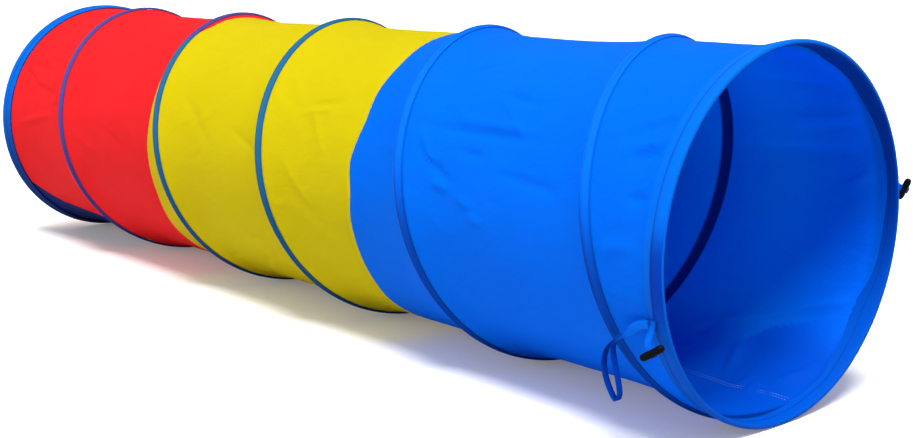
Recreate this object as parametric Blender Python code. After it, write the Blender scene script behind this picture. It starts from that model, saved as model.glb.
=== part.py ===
"""Pop-up play tunnel for crawling through, folded flat like a spring.

One helical spring wire runs the whole length between two wire hoops. Three fabric
panels, blue, yellow and red, are sewn end to end inside the wire, a blue tape sewn
outside holds the wire to them, and a folded hem closes each end over its hoop.
Two toggle and ribbon loop pairs on the front hem hold the tunnel folded.

Metres, +Z up. The tunnel lies along X with its front opening at +X, on the plane
z = 0, and the origin is below its middle.
"""

import math

import bmesh
import bpy
from mathutils import Vector
from mathutils.geometry import interpolate_bezier

# Whole tunnel.
TUNNEL_LENGTH = 1.800
TUNNEL_DIAMETER = 0.480
BLUE_PANEL_LENGTH = 0.604
YELLOW_PANEL_LENGTH = 0.601
FIT_GAP = 0.0003

# Fabric skin. It drops beside each turn of the wire and runs flat between them.
PANEL_THICKNESS = 0.0010
PANEL_DRAW_IN = 0.0115
DRAW_IN_POWER = 5

# Spring wire. The stations are the corners of every turn, and half a step either
# side of the bottom puts one flat side of each turn on the floor.
WIRE_DIAMETER = 0.0030
WIRE_SIDES = 6
STATIONS_PER_TURN = 40
COIL_STATIONS = 203
COIL_START_STEPS = -2.5
STRAND_GAP = 0.0004
SLACK_SHIFT = 0.027
SLACK_TURN = 3.2

# Ferrules that join the wire's ends.
FERRULE_WALL = 0.0005
FERRULE_LENGTH = 0.022
FERRULE_SIDES = 12
BUTT_GAP = 0.0006
HOOP_JOINT_STATION = 24

# Tape over the wire.
TAPE_THICKNESS = 0.0008
TAPE_WIDTH = 0.016
TAPE_HUMP_FOOT = 0.0040
TAPE_HUMP_CREST = 0.0018

# Hems.
FRONT_HEM_WIDTH = 0.030
REAR_HEM_WIDTH = 0.024
HEM_THICKNESS = 0.0008
FOLD_POINTS = 4

# Toggles, their straps and the ribbon loops, in two opposite sets on the front hem.
SET_STATION = 10
PATCH_SETBACK = 0.021
PATCH_WIDTH = 0.015
PATCH_HEIGHT = 0.014
PATCH_THICKNESS = 0.0010
SEWN_LINE_ABOVE = 0.006
SEWN_SPACING = 0.0015
TOGGLE_LENGTH = 0.030
TOGGLE_DIAMETER = 0.0105
TOGGLE_WAIST_DIAMETER = 0.0088
TOGGLE_TIP_DIAMETER = 0.0050
TOGGLE_SIDES = 14
TOGGLE_SLOT_CLEARANCE = 0.0005
STRAP_WIDTH = 0.0080
STRAP_THICKNESS = 0.0012
STRAP_STOP_WIDTH = 0.0088
STRAP_STOP_THICKNESS = 0.0036
STRAP_STOP_LENGTH = 0.0030
STRAP_LEAD = 0.013
STRAP_ENTRY = 0.007
STRAP_FLAT_SHARE = 0.4
STRAP_STEPS = 8
NEAR_TOGGLE_FORWARD = 0.006
NEAR_TOGGLE_OUT = 0.006
NEAR_TOGGLE_DROP = 0.035
FAR_TOGGLE_FORWARD = 0.012
FAR_TOGGLE_OUT = 0.028
FAR_TOGGLE_DROP = 0.048
NEAR_TOGGLE_WAY_SHARES = (0.62, 0.62, 0.48)
FAR_TOGGLE_WAY_SHARES = (0.25, 0.35, 0.90)
LOOP_WIDTH = 0.0100
LOOP_THICKNESS = 0.0010
LOOP_STRAND_SPACING = 0.0026
LOOP_REACH = 0.066
LOOP_DROP = 0.100
LOOP_STEPS = 60
NEAR_LOOP_OUT = 0.001
FAR_LOOP_OUT = 0.017

# The ribbon's course, out along the neck, round the loop and back. Each place is a
# share of the reach, of the drop, of the strand spacing, of the turn that sets the
# ribbon on edge and of the way out from the hem.
LOOP_COURSE_SHARES = (
    (0.00, 0.00, 0.5, 0.00, 0.00),
    (-0.12, -0.008, 0.5, 0.00, 0.15),
    (-0.26, -0.05, 0.5, 0.14, 0.35),
    (-0.42, -0.14, 0.5, 0.42, 0.58),
    (-0.58, -0.21, 0.5, 0.76, 0.78),
    (-0.75, -0.29, 0.4, 1.00, 0.92),
    (-0.92, -0.40, 0.2, 1.00, 1.00),
    (-1.00, -0.58, 0.0, 1.00, 1.00),
    (-0.97, -0.76, 0.0, 1.00, 1.00),
    (-0.84, -0.92, 0.0, 1.00, 1.00),
    (-0.68, -1.00, 0.0, 1.00, 1.00),
    (-0.56, -0.92, 0.0, 1.00, 1.00),
    (-0.57, -0.76, 0.0, 1.00, 1.00),
    (-0.68, -0.56, 0.0, 1.00, 1.00),
    (-0.80, -0.40, 0.2, 1.00, 1.00),
    (-0.75, -0.29, 0.4, 1.00, 0.92),
    (-0.58, -0.21, 0.5, 0.76, 0.78),
    (-0.42, -0.14, 0.5, 0.42, 0.58),
    (-0.26, -0.05, 0.5, 0.14, 0.35),
    (-0.12, -0.008, 0.5, 0.00, 0.15),
    (0.00, 0.00, 0.5, 0.00, 0.00),
)
# Where the fabric's lines lie between two turns of the wire, as shares of the bay.
DRAW_IN_LINE_SHARES = (0.0, 0.1, 0.3, 0.7, 0.9, 1.0)
# Where the barrel of a toggle changes its diameter, as shares of its length.
TOGGLE_PROFILE_SHARES = (-0.5, -0.46, -0.36, -0.18, 0.18, 0.36, 0.46, 0.5)

# What follows from the sizes above.
OUTER_RADIUS = TUNNEL_DIAMETER / 2
WIRE_RADIUS = WIRE_DIAMETER / 2
STEP_ANGLE = math.tau / STATIONS_PER_TURN
AXIS_HEIGHT = OUTER_RADIUS * math.cos(STEP_ANGLE / 2)
FRONT = TUNNEL_LENGTH / 2
REAR = -TUNNEL_LENGTH / 2
FERRULE_INNER = WIRE_RADIUS + FIT_GAP
FERRULE_OUTER = FERRULE_INNER + FERRULE_WALL
CHANNEL_HALF = FERRULE_OUTER + FIT_GAP
COIL_RADIUS = OUTER_RADIUS - HEM_THICKNESS - CHANNEL_HALF
HOOP_SETBACK = HEM_THICKNESS + CHANNEL_HALF
COIL_SETBACK = HOOP_SETBACK + WIRE_DIAMETER + STRAND_GAP
COIL_TURNS = COIL_STATIONS / STATIONS_PER_TURN
COIL_PITCH = (TUNNEL_LENGTH - 2 * COIL_SETBACK) / COIL_TURNS
COIL_SLOPE = math.hypot(1, COIL_PITCH / (math.tau * COIL_RADIUS))
RIB_SKIN_RADIUS = COIL_RADIUS - WIRE_RADIUS - FIT_GAP
HEM_SKIN_RADIUS = COIL_RADIUS - CHANNEL_HALF
RIB_HALF_WIDTH = TAPE_WIDTH / 2 + FIT_GAP
FRONT_HEM_LINE = FRONT - FRONT_HEM_WIDTH
REAR_HEM_LINE = REAR + REAR_HEM_WIDTH
BLUE_SEAM = FRONT - BLUE_PANEL_LENGTH
RED_SEAM = BLUE_SEAM - YELLOW_PANEL_LENGTH

BLUE = (0.0, 0.19, 0.87)
YELLOW = (0.72, 0.52, 0.01)
RED = (0.87, 0.03, 0.05)
TAPE_BLUE = (0.02, 0.16, 0.50)
STEEL = (0.55, 0.55, 0.57)
BLACK = (0.01, 0.01, 0.012)


def clear_scene():
    """Start from an empty scene."""
    for item in list(bpy.data.objects):
        bpy.data.objects.remove(item, do_unlink=True)


def make_material(name, colour, roughness, metallic=0.0):
    """A plain finish for one piece."""
    material = bpy.data.materials.new(name)
    material.use_nodes = True
    shader = material.node_tree.nodes["Principled BSDF"]
    shader.inputs["Base Color"].default_value = (*colour, 1.0)
    shader.inputs["Roughness"].default_value = roughness
    shader.inputs["Metallic"].default_value = metallic
    return material


def add_object(name, mesh_data, finish, smooth_angle):
    """Close the mesh, turn its faces outwards and put it in the scene."""
    bmesh.ops.recalc_face_normals(mesh_data, faces=mesh_data.faces)
    mesh = bpy.data.meshes.new(name)
    mesh_data.to_mesh(mesh)
    mesh_data.free()
    mesh.materials.append(make_material(name + "_finish", *finish))
    mesh.shade_smooth()
    mesh.set_sharp_from_angle(angle=math.radians(smooth_angle))
    item = bpy.data.objects.new(name, mesh)
    bpy.context.scene.collection.objects.link(item)
    return item


def set_origin(item, point):
    """Move an object's origin to a point and leave its shape where it is."""
    for vertex in item.data.vertices:
        vertex.co -= point
    item.location = point


def station_angle(index):
    """Angle of a station, from the bottom towards the near side."""
    return (index + COIL_START_STEPS) * STEP_ANGLE


def place(x, radius, angle):
    """Point of the tunnel at a distance along it, a radius and an angle."""
    return Vector((x, -radius * math.sin(angle), AXIS_HEIGHT - radius * math.cos(angle)))


def outline_ring(outline, index):
    """One section's points, each (x, radius), at a station."""
    return [place(x, radius, station_angle(index)) for x, radius in outline]


def between(first, second, share):
    """The section that lies between two others on their straight run."""
    return [a.lerp(b, share) for a, b in zip(first, second)]


def sweep(rings, closed):
    """Skin a row of like sections, joined end to start if closed, else capped."""
    mesh_data = bmesh.new()
    rows = [[mesh_data.verts.new(point) for point in ring] for ring in rings]
    pairs = list(zip(rows, rows[1:]))
    if closed:
        pairs.append((rows[-1], rows[0]))
    else:
        mesh_data.faces.new(rows[0])
        mesh_data.faces.new(list(reversed(rows[-1])))
    for row, after in pairs:
        for i in range(len(row)):
            j = (i + 1) % len(row)
            mesh_data.faces.new((row[i], after[i], after[j], row[j]))
    return mesh_data


def coil_x(turn):
    """Where the wire lies along the tunnel, this many turns from the front hoop.

    Some slack in the fabric lets one turn sit nearer the front than even spacing."""
    near_slack = min(1.0, abs(turn - SLACK_TURN))
    shift = SLACK_SHIFT * math.cos(math.pi / 2 * near_slack) ** 2
    return FRONT - COIL_SETBACK - COIL_PITCH * turn + shift


def round_section(x, radius, size, sides, stretch):
    """Points round a wire or a bore, centred at x and radius."""
    return [
        (
            x + size * stretch * math.cos(math.tau * (i + 0.5) / sides),
            radius + size * math.sin(math.tau * (i + 0.5) / sides),
        )
        for i in range(sides)
    ]


def long_section(x_first, x_last, radius, size, sides):
    """Points round two wires that lie side by side."""
    points = []
    for x, low, high in ((x_last, 0, sides // 2), (x_first, sides // 2, sides)):
        for i in range(low, high + 1):
            angle = math.tau * i / sides - math.pi / 2
            points.append((x + size * math.cos(angle), radius + size * math.sin(angle)))
    return points


# Wire.


def coil_course():
    """The wire's stations and where they lie, with a straight tail along each hoop."""
    course = []
    for index in range(-1, COIL_STATIONS + 2):
        turn = min(max(index, 0), COIL_STATIONS) / STATIONS_PER_TURN
        course.append((index, coil_x(turn)))
    return course


def coil_wire():
    """The helical spring wire as one tube."""
    rings = []
    for index, x in coil_course():
        section = round_section(x, COIL_RADIUS, WIRE_RADIUS, WIRE_SIDES, COIL_SLOPE)
        rings.append(outline_ring(section, index))
    return sweep(rings, closed=False)


def least_coil_gap():
    """Least clear gap from the wire to its own points half a turn on or more."""
    points = [place(x, COIL_RADIUS, station_angle(index)) for index, x in coil_course()]
    gaps = []
    for i, point in enumerate(points):
        for other in points[i + STATIONS_PER_TURN // 2 :]:
            gaps.append((point - other).length - WIRE_DIAMETER)
    return min(gaps)


def hoop_wire(x):
    """An end hoop, whose two ends meet inside its ferrule."""
    section = round_section(x, COIL_RADIUS, WIRE_RADIUS, WIRE_SIDES, 1)
    first = outline_ring(section, HOOP_JOINT_STATION)
    second = outline_ring(section, HOOP_JOINT_STATION + 1)
    half_gap_share = BUTT_GAP / 2 / (first[0] - second[0]).length
    rings = [between(first, second, 0.5 + half_gap_share)]
    for step in range(1, STATIONS_PER_TURN + 1):
        rings.append(outline_ring(section, HOOP_JOINT_STATION + step))
    rings.append(between(first, second, 0.5 - half_gap_share))
    return sweep(rings, closed=False)


def sleeve(outer, inner, index):
    """A short straight tube over the middle of the run after a station."""
    run = (place(0, COIL_RADIUS, STEP_ANGLE) - place(0, COIL_RADIUS, 0)).length
    half_share = FERRULE_LENGTH / 2 / run
    rings = []
    for outline, share in (
        (outer, 0.5 - half_share),
        (outer, 0.5 + half_share),
        (inner, 0.5 + half_share),
        (inner, 0.5 - half_share),
    ):
        first = outline_ring(outline, index)
        second = outline_ring(outline, index + 1)
        rings.append(between(first, second, share))
    return sweep(rings, closed=True)


def hoop_ferrule(x):
    """The ferrule over the two ends of a hoop."""
    outer = round_section(x, COIL_RADIUS, FERRULE_OUTER, FERRULE_SIDES, 1)
    inner = round_section(x, COIL_RADIUS, FERRULE_INNER, FERRULE_SIDES, 1)
    return sleeve(outer, inner, HOOP_JOINT_STATION)


def coil_ferrule(x_first, x_last, index):
    """The oval ferrule over a hoop and the tail of the coil beside it."""
    outer = long_section(x_first, x_last, COIL_RADIUS, FERRULE_OUTER, FERRULE_SIDES)
    inner = long_section(x_first, x_last, COIL_RADIUS, FERRULE_INNER, FERRULE_SIDES)
    return sleeve(outer, inner, index)


# Fabric.


def skin_radius(x, angle):
    """Outer radius of the fabric: full at the wire and hems, drawn in between."""
    start = (angle - station_angle(0)) / math.tau
    ribs = [coil_x(start + turn) for turn in range(-1, int(COIL_TURNS) + 3)]
    in_front = [rib for rib in ribs if rib - RIB_HALF_WIDTH >= x]
    behind = [rib for rib in ribs if rib + RIB_HALF_WIDTH <= x]
    if len(in_front) + len(behind) < len(ribs):
        return RIB_SKIN_RADIUS
    front_side = (FRONT_HEM_LINE, HEM_SKIN_RADIUS)
    if in_front and min(in_front) - RIB_HALF_WIDTH < FRONT_HEM_LINE:
        front_side = (min(in_front) - RIB_HALF_WIDTH, RIB_SKIN_RADIUS)
    rear_side = (REAR_HEM_LINE, HEM_SKIN_RADIUS)
    if behind and max(behind) + RIB_HALF_WIDTH > REAR_HEM_LINE:
        rear_side = (max(behind) + RIB_HALF_WIDTH, RIB_SKIN_RADIUS)
    bay = front_side[0] - rear_side[0]
    if bay <= 0:
        return min(front_side[1], rear_side[1])
    share = min(1.0, max(0.0, (front_side[0] - x) / bay))
    flat = front_side[1] + (rear_side[1] - front_side[1]) * share
    size = min(1.0, bay / (COIL_PITCH - 2 * RIB_HALF_WIDTH))
    drop = 1 - abs(2 * share - 1) ** DRAW_IN_POWER
    return flat - PANEL_DRAW_IN * size**1.5 * drop


def unit_skin(x_front, x_rear):
    """The tunnel's skin at radius one, its lines along the wire, cut to two planes."""
    lines = len(DRAW_IN_LINE_SHARES)
    steps = range(-STATIONS_PER_TURN - 1, COIL_STATIONS + 3)
    mesh_data = bmesh.new()
    grid = {}
    for index in steps:
        turn = index / STATIONS_PER_TURN
        front_edge = coil_x(turn) - RIB_HALF_WIDTH
        rear_edge = coil_x(turn + 1) + RIB_HALF_WIDTH
        for line, share in enumerate(DRAW_IN_LINE_SHARES):
            x = front_edge + (rear_edge - front_edge) * share
            angle = station_angle(index)
            corner = (x, -math.sin(angle), -math.cos(angle))
            grid[index, line] = mesh_data.verts.new(corner)
    for index in steps:
        for line in range(lines):
            after = (index, line + 1)
            if line == lines - 1:
                after = (index + STATIONS_PER_TURN, 0)
            corners = [(index, line), (index + 1, line), (after[0] + 1, after[1]), after]
            if all(corner in grid for corner in corners):
                mesh_data.faces.new([grid[corner] for corner in corners])
    for x, side in ((x_front, 1), (x_rear, -1)):
        bmesh.ops.bisect_plane(
            mesh_data,
            geom=mesh_data.verts[:] + mesh_data.edges[:] + mesh_data.faces[:],
            dist=FIT_GAP / 100,
            plane_co=(x, 0, 0),
            plane_no=(side, 0, 0),
            clear_outer=True,
        )
    bmesh.ops.triangulate(mesh_data, faces=mesh_data.faces[:])
    return mesh_data


def panel(x_front, x_rear):
    """One sewn fabric panel, a drawn-in tube between two seams."""
    skin = unit_skin(x_front, x_rear)
    skin.verts.index_update()
    mesh_data = bmesh.new()
    outer = []
    inner = []
    for vertex in skin.verts:
        x, y, z = vertex.co
        radius = skin_radius(x, math.atan2(-y, -z))
        for side, size in ((outer, radius), (inner, radius - PANEL_THICKNESS)):
            side.append(mesh_data.verts.new((x, y * size, AXIS_HEIGHT + z * size)))
    for face in skin.faces:
        corners = [vertex.index for vertex in face.verts]
        mesh_data.faces.new([outer[i] for i in corners])
        mesh_data.faces.new([inner[i] for i in reversed(corners)])
    for edge in skin.edges:
        if edge.is_boundary:
            a, b = (vertex.index for vertex in edge.verts)
            mesh_data.faces.new((outer[a], outer[b], inner[b], inner[a]))
    skin.free()
    return mesh_data


def tape_section(x):
    """The tape's section: two flat edges and the hump over the wire."""
    edge = TAPE_WIDTH / 2
    foot = TAPE_HUMP_FOOT * COIL_SLOPE
    crest = TAPE_HUMP_CREST * COIL_SLOPE
    low = RIB_SKIN_RADIUS + FIT_GAP
    high = COIL_RADIUS + WIRE_RADIUS + FIT_GAP
    inner_foot = foot - TAPE_THICKNESS
    half = ((edge, low), (inner_foot, low), (crest, high))
    over = ((crest, high), (foot, low), (edge, low))
    section = [(x - aside, radius) for aside, radius in half]
    section += [(x + aside, radius) for aside, radius in reversed(half)]
    section += [(x + aside, radius + TAPE_THICKNESS) for aside, radius in reversed(over)]
    section += [(x - aside, radius + TAPE_THICKNESS) for aside, radius in over]
    return section


def coil_tape():
    """The tape sewn outside along the wire, from one hem to the other."""
    rings = []
    for index in range(COIL_STATIONS + 1):
        section = tape_section(coil_x(index / STATIONS_PER_TURN))
        rings.append(outline_ring(section, index))
    mesh_data = sweep(rings, closed=False)
    front_end = FRONT_HEM_LINE - FIT_GAP
    rear_end = REAR_HEM_LINE + FIT_GAP
    for x, side in ((front_end, 1), (rear_end, -1)):
        bmesh.ops.bisect_plane(
            mesh_data,
            geom=mesh_data.verts[:] + mesh_data.edges[:] + mesh_data.faces[:],
            dist=FIT_GAP / 100,
            plane_co=(x, 0, 0),
            plane_no=(side, 0, 0),
            clear_outer=True,
        )
        rim = [edge for edge in mesh_data.edges if edge.is_boundary]
        bmesh.ops.holes_fill(mesh_data, edges=rim, sides=0)
    return mesh_data


def hem(rim_x, side, width):
    """A folded hem, open towards the panel, round over the hoop at the rim."""
    top = OUTER_RADIUS
    middle = COIL_RADIUS
    fold = HOOP_SETBACK
    section = [(width, top)]
    for i in range(FOLD_POINTS + 1):
        angle = math.pi * i / FOLD_POINTS
        reach = OUTER_RADIUS - COIL_RADIUS
        section.append((fold - fold * math.sin(angle), middle + reach * math.cos(angle)))
    section.append((width, 2 * middle - top))
    section.append((width, middle - CHANNEL_HALF))
    section.append((fold, middle - CHANNEL_HALF))
    section.append((HEM_THICKNESS, middle - WIRE_RADIUS))
    section.append((HEM_THICKNESS, middle + WIRE_RADIUS))
    section.append((fold, middle + CHANNEL_HALF))
    section.append((width, middle + CHANNEL_HALF))
    outline = [(rim_x - side * setback, radius) for setback, radius in section]
    rings = [outline_ring(outline, index) for index in range(STATIONS_PER_TURN)]
    return sweep(rings, closed=True)


# Straps, toggles and loops.


class StrapSet:
    """Places of one set on the front hem: the middle of its flat side and its ways."""

    def __init__(self, index):
        angle = station_angle(index) + STEP_ANGLE / 2
        self.out = Vector((0, -math.sin(angle), -math.cos(angle)))
        self.up = Vector((0, -math.cos(angle), math.sin(angle)))
        if self.up.z < 0:
            self.up = -self.up
        self.side = Vector((0, math.copysign(1, self.out.y), 0))
        self.edge = Vector((0, math.copysign(1, self.up.y), 0))
        centre = FRONT - PATCH_SETBACK
        face_radius = OUTER_RADIUS * math.cos(STEP_ANGLE / 2) + FIT_GAP
        self.patch = place(centre, face_radius, angle)
        face = self.patch + self.out * (PATCH_THICKNESS + FIT_GAP)
        self.pivot = face + self.up * SEWN_LINE_ABOVE
        slack = (PATCH_WIDTH - STRAP_WIDTH) / 2
        self.strap = self.pivot + Vector((slack, 0, 0))
        self.loop = self.strap - Vector((STRAP_WIDTH / 2 + SEWN_SPACING, 0, 0))


def slab(centre, width_way, height_way, depth_way, sizes):
    """A plate from its middle, three ways and its three sizes."""
    rings = []
    for end in (-0.5, 0.5):
        rings.append(
            [
                centre
                + width_way * sizes[0] * across
                + height_way * sizes[1] * end
                + depth_way * sizes[2] * deep
                for across, deep in ((-0.5, -0.5), (0.5, -0.5), (0.5, 0.5), (-0.5, 0.5))
            ]
        )
    return sweep(rings, closed=False)


def strap_patch(places):
    """The sewn patch that anchors a strap and a loop on the hem."""
    centre = places.patch + places.out * PATCH_THICKNESS / 2
    sizes = (PATCH_WIDTH, PATCH_HEIGHT, PATCH_THICKNESS)
    return slab(centre, Vector((1, 0, 0)), places.up, places.out, sizes)


def band_ring(point, along, width_way, width, thickness):
    """A flat band's section at a point, square to the way that it runs."""
    face_way = along.cross(width_way).normalized()
    across = face_way.cross(along).normalized()
    return [
        point + across * width * a + face_way * thickness * b
        for a, b in ((-0.5, -0.5), (0.5, -0.5), (0.5, 0.5), (-0.5, 0.5))
    ]


def smooth_course(points, steps):
    """Even points on a smooth curve through the given points."""
    padded = [2 * points[0] - points[1], *points, 2 * points[-1] - points[-2]]
    course = []
    for i in range(steps + 1):
        reach = i / steps * (len(points) - 1)
        leg = min(int(reach), len(points) - 2)
        share = reach - leg
        a, b, c, d = padded[leg : leg + 4]
        course.append(
            0.5
            * (
                2 * b
                + (c - a) * share
                + (2 * a - 5 * b + 4 * c - d) * share**2
                + (3 * b - a - 3 * c + d) * share**3
            )
        )
    return course


class ToggleHang:
    """How a toggle hangs: its middle, its long way and the way its strap enters."""

    def __init__(self, places, forward, out, drop, way_shares):
        self.line = Vector(way_shares).normalized()
        hang = Vector((forward, 0, -drop)) + places.side * out
        self.centre = places.strap + hang
        lead = hang.normalized()
        self.enter = (lead - self.line * lead.dot(self.line)).normalized()


def toggle_strap(places, hang):
    """The strap from the patch through the toggle's slot to its sewn stop."""
    top = places.strap + places.out * STRAP_THICKNESS / 2
    slot_in = hang.centre - hang.enter * TOGGLE_DIAMETER
    stop = hang.centre + hang.enter * (TOGGLE_DIAMETER / 2 + FIT_GAP)
    first_handle = top - places.up * STRAP_LEAD
    last_handle = slot_in - hang.enter * STRAP_ENTRY
    ends = (top, first_handle, last_handle, slot_in)
    points = [*interpolate_bezier(*ends, STRAP_STEPS), hang.centre, stop]
    rings = []
    for i, point in enumerate(points):
        along = points[min(i + 1, STRAP_STEPS)] - points[max(i - 1, 0)]
        if i == 0:
            along = -places.up
        elif i >= STRAP_STEPS:
            along = hang.enter
        turned = (i / STRAP_STEPS - STRAP_FLAT_SHARE) / (1 - STRAP_FLAT_SHARE)
        share = min(1.0, max(0.0, turned))
        width_way = Vector((1, 0, 0)).lerp(hang.line, share)
        rings.append(band_ring(point, along, width_way, STRAP_WIDTH, STRAP_THICKNESS))
    for reach in (0, STRAP_STOP_LENGTH):
        point = stop + hang.enter * reach
        sizes = (STRAP_STOP_WIDTH, STRAP_STOP_THICKNESS)
        rings.append(band_ring(point, hang.enter, hang.line, *sizes))
    return sweep(rings, closed=False)


def toggle_barrel(hang):
    """The turned barrel, waisted in the middle and rounded at its tips."""
    first = hang.enter
    second = hang.line.cross(first)
    sizes = (
        TOGGLE_TIP_DIAMETER,
        (TOGGLE_TIP_DIAMETER + TOGGLE_DIAMETER) / 2,
        TOGGLE_DIAMETER,
        TOGGLE_WAIST_DIAMETER,
    )
    rings = []
    for share, size in zip(TOGGLE_PROFILE_SHARES, (*sizes, *reversed(sizes))):
        middle = hang.centre + hang.line * TOGGLE_LENGTH * share
        ring = []
        for i in range(TOGGLE_SIDES):
            angle = math.tau * i / TOGGLE_SIDES
            way = first * math.cos(angle) + second * math.sin(angle)
            ring.append(middle + way * size / 2)
        rings.append(ring)
    return sweep(rings, closed=False)


def cut_slot(item, hang):
    """Cut the slot for the strap through a toggle's barrel."""
    sizes = (
        STRAP_WIDTH + 2 * TOGGLE_SLOT_CLEARANCE,
        2 * TOGGLE_DIAMETER,
        STRAP_THICKNESS + 2 * TOGGLE_SLOT_CLEARANCE,
    )
    face_way = hang.enter.cross(hang.line)
    box = slab(hang.centre, hang.line, hang.enter, face_way, sizes)
    cutter = add_object(item.name + "_slot_cutter", box, (BLACK, 0.5), 30)
    cutter.hide_render = True
    cutter.display_type = "WIRE"
    slot = item.modifiers.new("strap_slot", "BOOLEAN")
    slot.operation = "DIFFERENCE"
    slot.solver = "EXACT"
    slot.object = cutter


def ribbon_loop(places, out):
    """A ribbon sewn down at both ends, hanging in a long narrow loop.

    Its two strands lie either side of one middle line, the way out above the way back."""
    face = places.out * (LOOP_THICKNESS + LOOP_STRAND_SPACING) / 2
    start = places.loop + face - places.up * LOOP_WIDTH / 2
    middles = []
    edge_ways = []
    spreads = []
    for reach, drop, spread, turn, leave in LOOP_COURSE_SHARES:
        hang = Vector((reach * LOOP_REACH, 0, drop * LOOP_DROP))
        middles.append(start + hang + places.side * out * leave)
        edge_ways.append(places.up.lerp(places.edge, turn).normalized())
        spreads.append(spread)
    middles = smooth_course(middles, LOOP_STEPS)
    edge_ways = smooth_course(edge_ways, LOOP_STEPS)
    spreads = smooth_course(spreads, LOOP_STEPS)
    rings = []
    for i, middle in enumerate(middles):
        along = middles[min(i + 1, LOOP_STEPS)] - middles[max(i - 1, 0)]
        face_way = along.cross(edge_ways[i]).normalized()
        point = middle + face_way * LOOP_STRAND_SPACING * spreads[i]
        rings.append(band_ring(point, along, edge_ways[i], LOOP_WIDTH, LOOP_THICKNESS))
    return sweep(rings, closed=False)


def build_wires():
    """The coil, the two hoops and the ferrules that join them."""
    wire = (STEEL, 0.35, 1.0)
    add_object("coil_wire", coil_wire(), wire, 50)
    front_hoop = FRONT - HOOP_SETBACK
    front_tail = FRONT - COIL_SETBACK
    rear_hoop = REAR + HOOP_SETBACK
    rear_tail = REAR + COIL_SETBACK
    add_object("front_hoop", hoop_wire(front_hoop), wire, 50)
    add_object("rear_hoop", hoop_wire(rear_hoop), wire, 50)
    add_object("front_hoop_ferrule", hoop_ferrule(front_hoop), wire, 40)
    add_object("rear_hoop_ferrule", hoop_ferrule(rear_hoop), wire, 40)
    front_join = coil_ferrule(front_tail, front_hoop, -1)
    rear_join = coil_ferrule(rear_hoop, rear_tail, COIL_STATIONS)
    add_object("front_coil_ferrule", front_join, wire, 40)
    add_object("rear_coil_ferrule", rear_join, wire, 40)
    print(f"least gap of the wire to itself: {least_coil_gap():.4f} m")


def build_fabric():
    """The three panels, the tape over the wire and the two hems."""
    half_gap = FIT_GAP / 2
    panels = (
        ("blue_panel", FRONT_HEM_LINE - FIT_GAP, BLUE_SEAM + half_gap, BLUE),
        ("yellow_panel", BLUE_SEAM - half_gap, RED_SEAM + half_gap, YELLOW),
        ("red_panel", RED_SEAM - half_gap, REAR_HEM_LINE + FIT_GAP, RED),
    )
    for name, x_front, x_rear, colour in panels:
        add_object(name, panel(x_front, x_rear), (colour, 0.55), 40)
    add_object("coil_tape", coil_tape(), (TAPE_BLUE, 0.6), 40)
    add_object("front_hem", hem(FRONT, 1, FRONT_HEM_WIDTH), (BLUE, 0.55), 40)
    add_object("rear_hem", hem(REAR, -1, REAR_HEM_WIDTH), (TAPE_BLUE, 0.6), 40)


def build_strap_set(name, index, hang_sizes, way_shares, loop_out):
    """A patch, a toggle on its strap and a ribbon loop."""
    places = StrapSet(index)
    hang = ToggleHang(places, *hang_sizes, way_shares)
    pivot = places.pivot
    add_object(name + "_strap_patch", strap_patch(places), (BLUE, 0.6), 30)
    strap = toggle_strap(places, hang)
    strap = add_object(name + "_toggle_strap", strap, (BLUE, 0.6), 30)
    barrel = add_object(name + "_toggle", toggle_barrel(hang), (BLACK, 0.4), 35)
    cut_slot(barrel, hang)
    loop = ribbon_loop(places, loop_out)
    loop = add_object(name + "_ribbon_loop", loop, (BLUE, 0.6), 30)
    for item in (strap, barrel, loop):
        set_origin(item, pivot)
    print(f"{name} pivot: " + ", ".join(f"{value:.5f}" for value in pivot))


def build_tunnel():
    """Every piece of the tunnel."""
    clear_scene()
    build_wires()
    build_fabric()
    near_sizes = (NEAR_TOGGLE_FORWARD, NEAR_TOGGLE_OUT, NEAR_TOGGLE_DROP)
    far_sizes = (FAR_TOGGLE_FORWARD, FAR_TOGGLE_OUT, FAR_TOGGLE_DROP)
    far_station = SET_STATION + STATIONS_PER_TURN // 2
    near_way = NEAR_TOGGLE_WAY_SHARES
    far_way = FAR_TOGGLE_WAY_SHARES
    build_strap_set("near", SET_STATION, near_sizes, near_way, NEAR_LOOP_OUT)
    build_strap_set("far", far_station, far_sizes, far_way, FAR_LOOP_OUT)


build_tunnel()
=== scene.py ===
"""Looks of the pop-up play tunnel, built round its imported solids.

The tunnel lies along X with its front opening at +X and rests on z = 0. Angles run
from the bottom of the tunnel towards its near side, -Y. All sizes are in metres.
"""

import logging
import math
from dataclasses import dataclass
from enum import Enum
from functools import lru_cache
from typing import Sequence

import bpy
import numpy as np
from mathutils import Matrix, Vector, noise
from mathutils.geometry import interpolate_bezier


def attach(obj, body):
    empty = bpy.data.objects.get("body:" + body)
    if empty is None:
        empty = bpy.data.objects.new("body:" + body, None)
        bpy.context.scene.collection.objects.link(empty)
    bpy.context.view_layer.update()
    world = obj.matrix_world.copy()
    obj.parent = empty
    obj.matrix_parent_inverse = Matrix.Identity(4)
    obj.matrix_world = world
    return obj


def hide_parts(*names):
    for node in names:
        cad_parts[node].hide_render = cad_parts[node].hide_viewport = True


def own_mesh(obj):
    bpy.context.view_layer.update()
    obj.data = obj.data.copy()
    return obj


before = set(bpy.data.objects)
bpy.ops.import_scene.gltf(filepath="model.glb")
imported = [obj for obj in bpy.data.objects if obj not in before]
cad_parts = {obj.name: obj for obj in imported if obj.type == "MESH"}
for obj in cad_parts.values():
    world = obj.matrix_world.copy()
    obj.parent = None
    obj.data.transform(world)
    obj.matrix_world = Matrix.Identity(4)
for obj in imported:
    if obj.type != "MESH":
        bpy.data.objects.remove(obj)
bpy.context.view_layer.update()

LOG = logging.getLogger("play_tunnel")

MM = 0.001
Colour = tuple[float, float, float]
Knots = Sequence[tuple[float, float]]
Socket = bpy.types.NodeSocket


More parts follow.
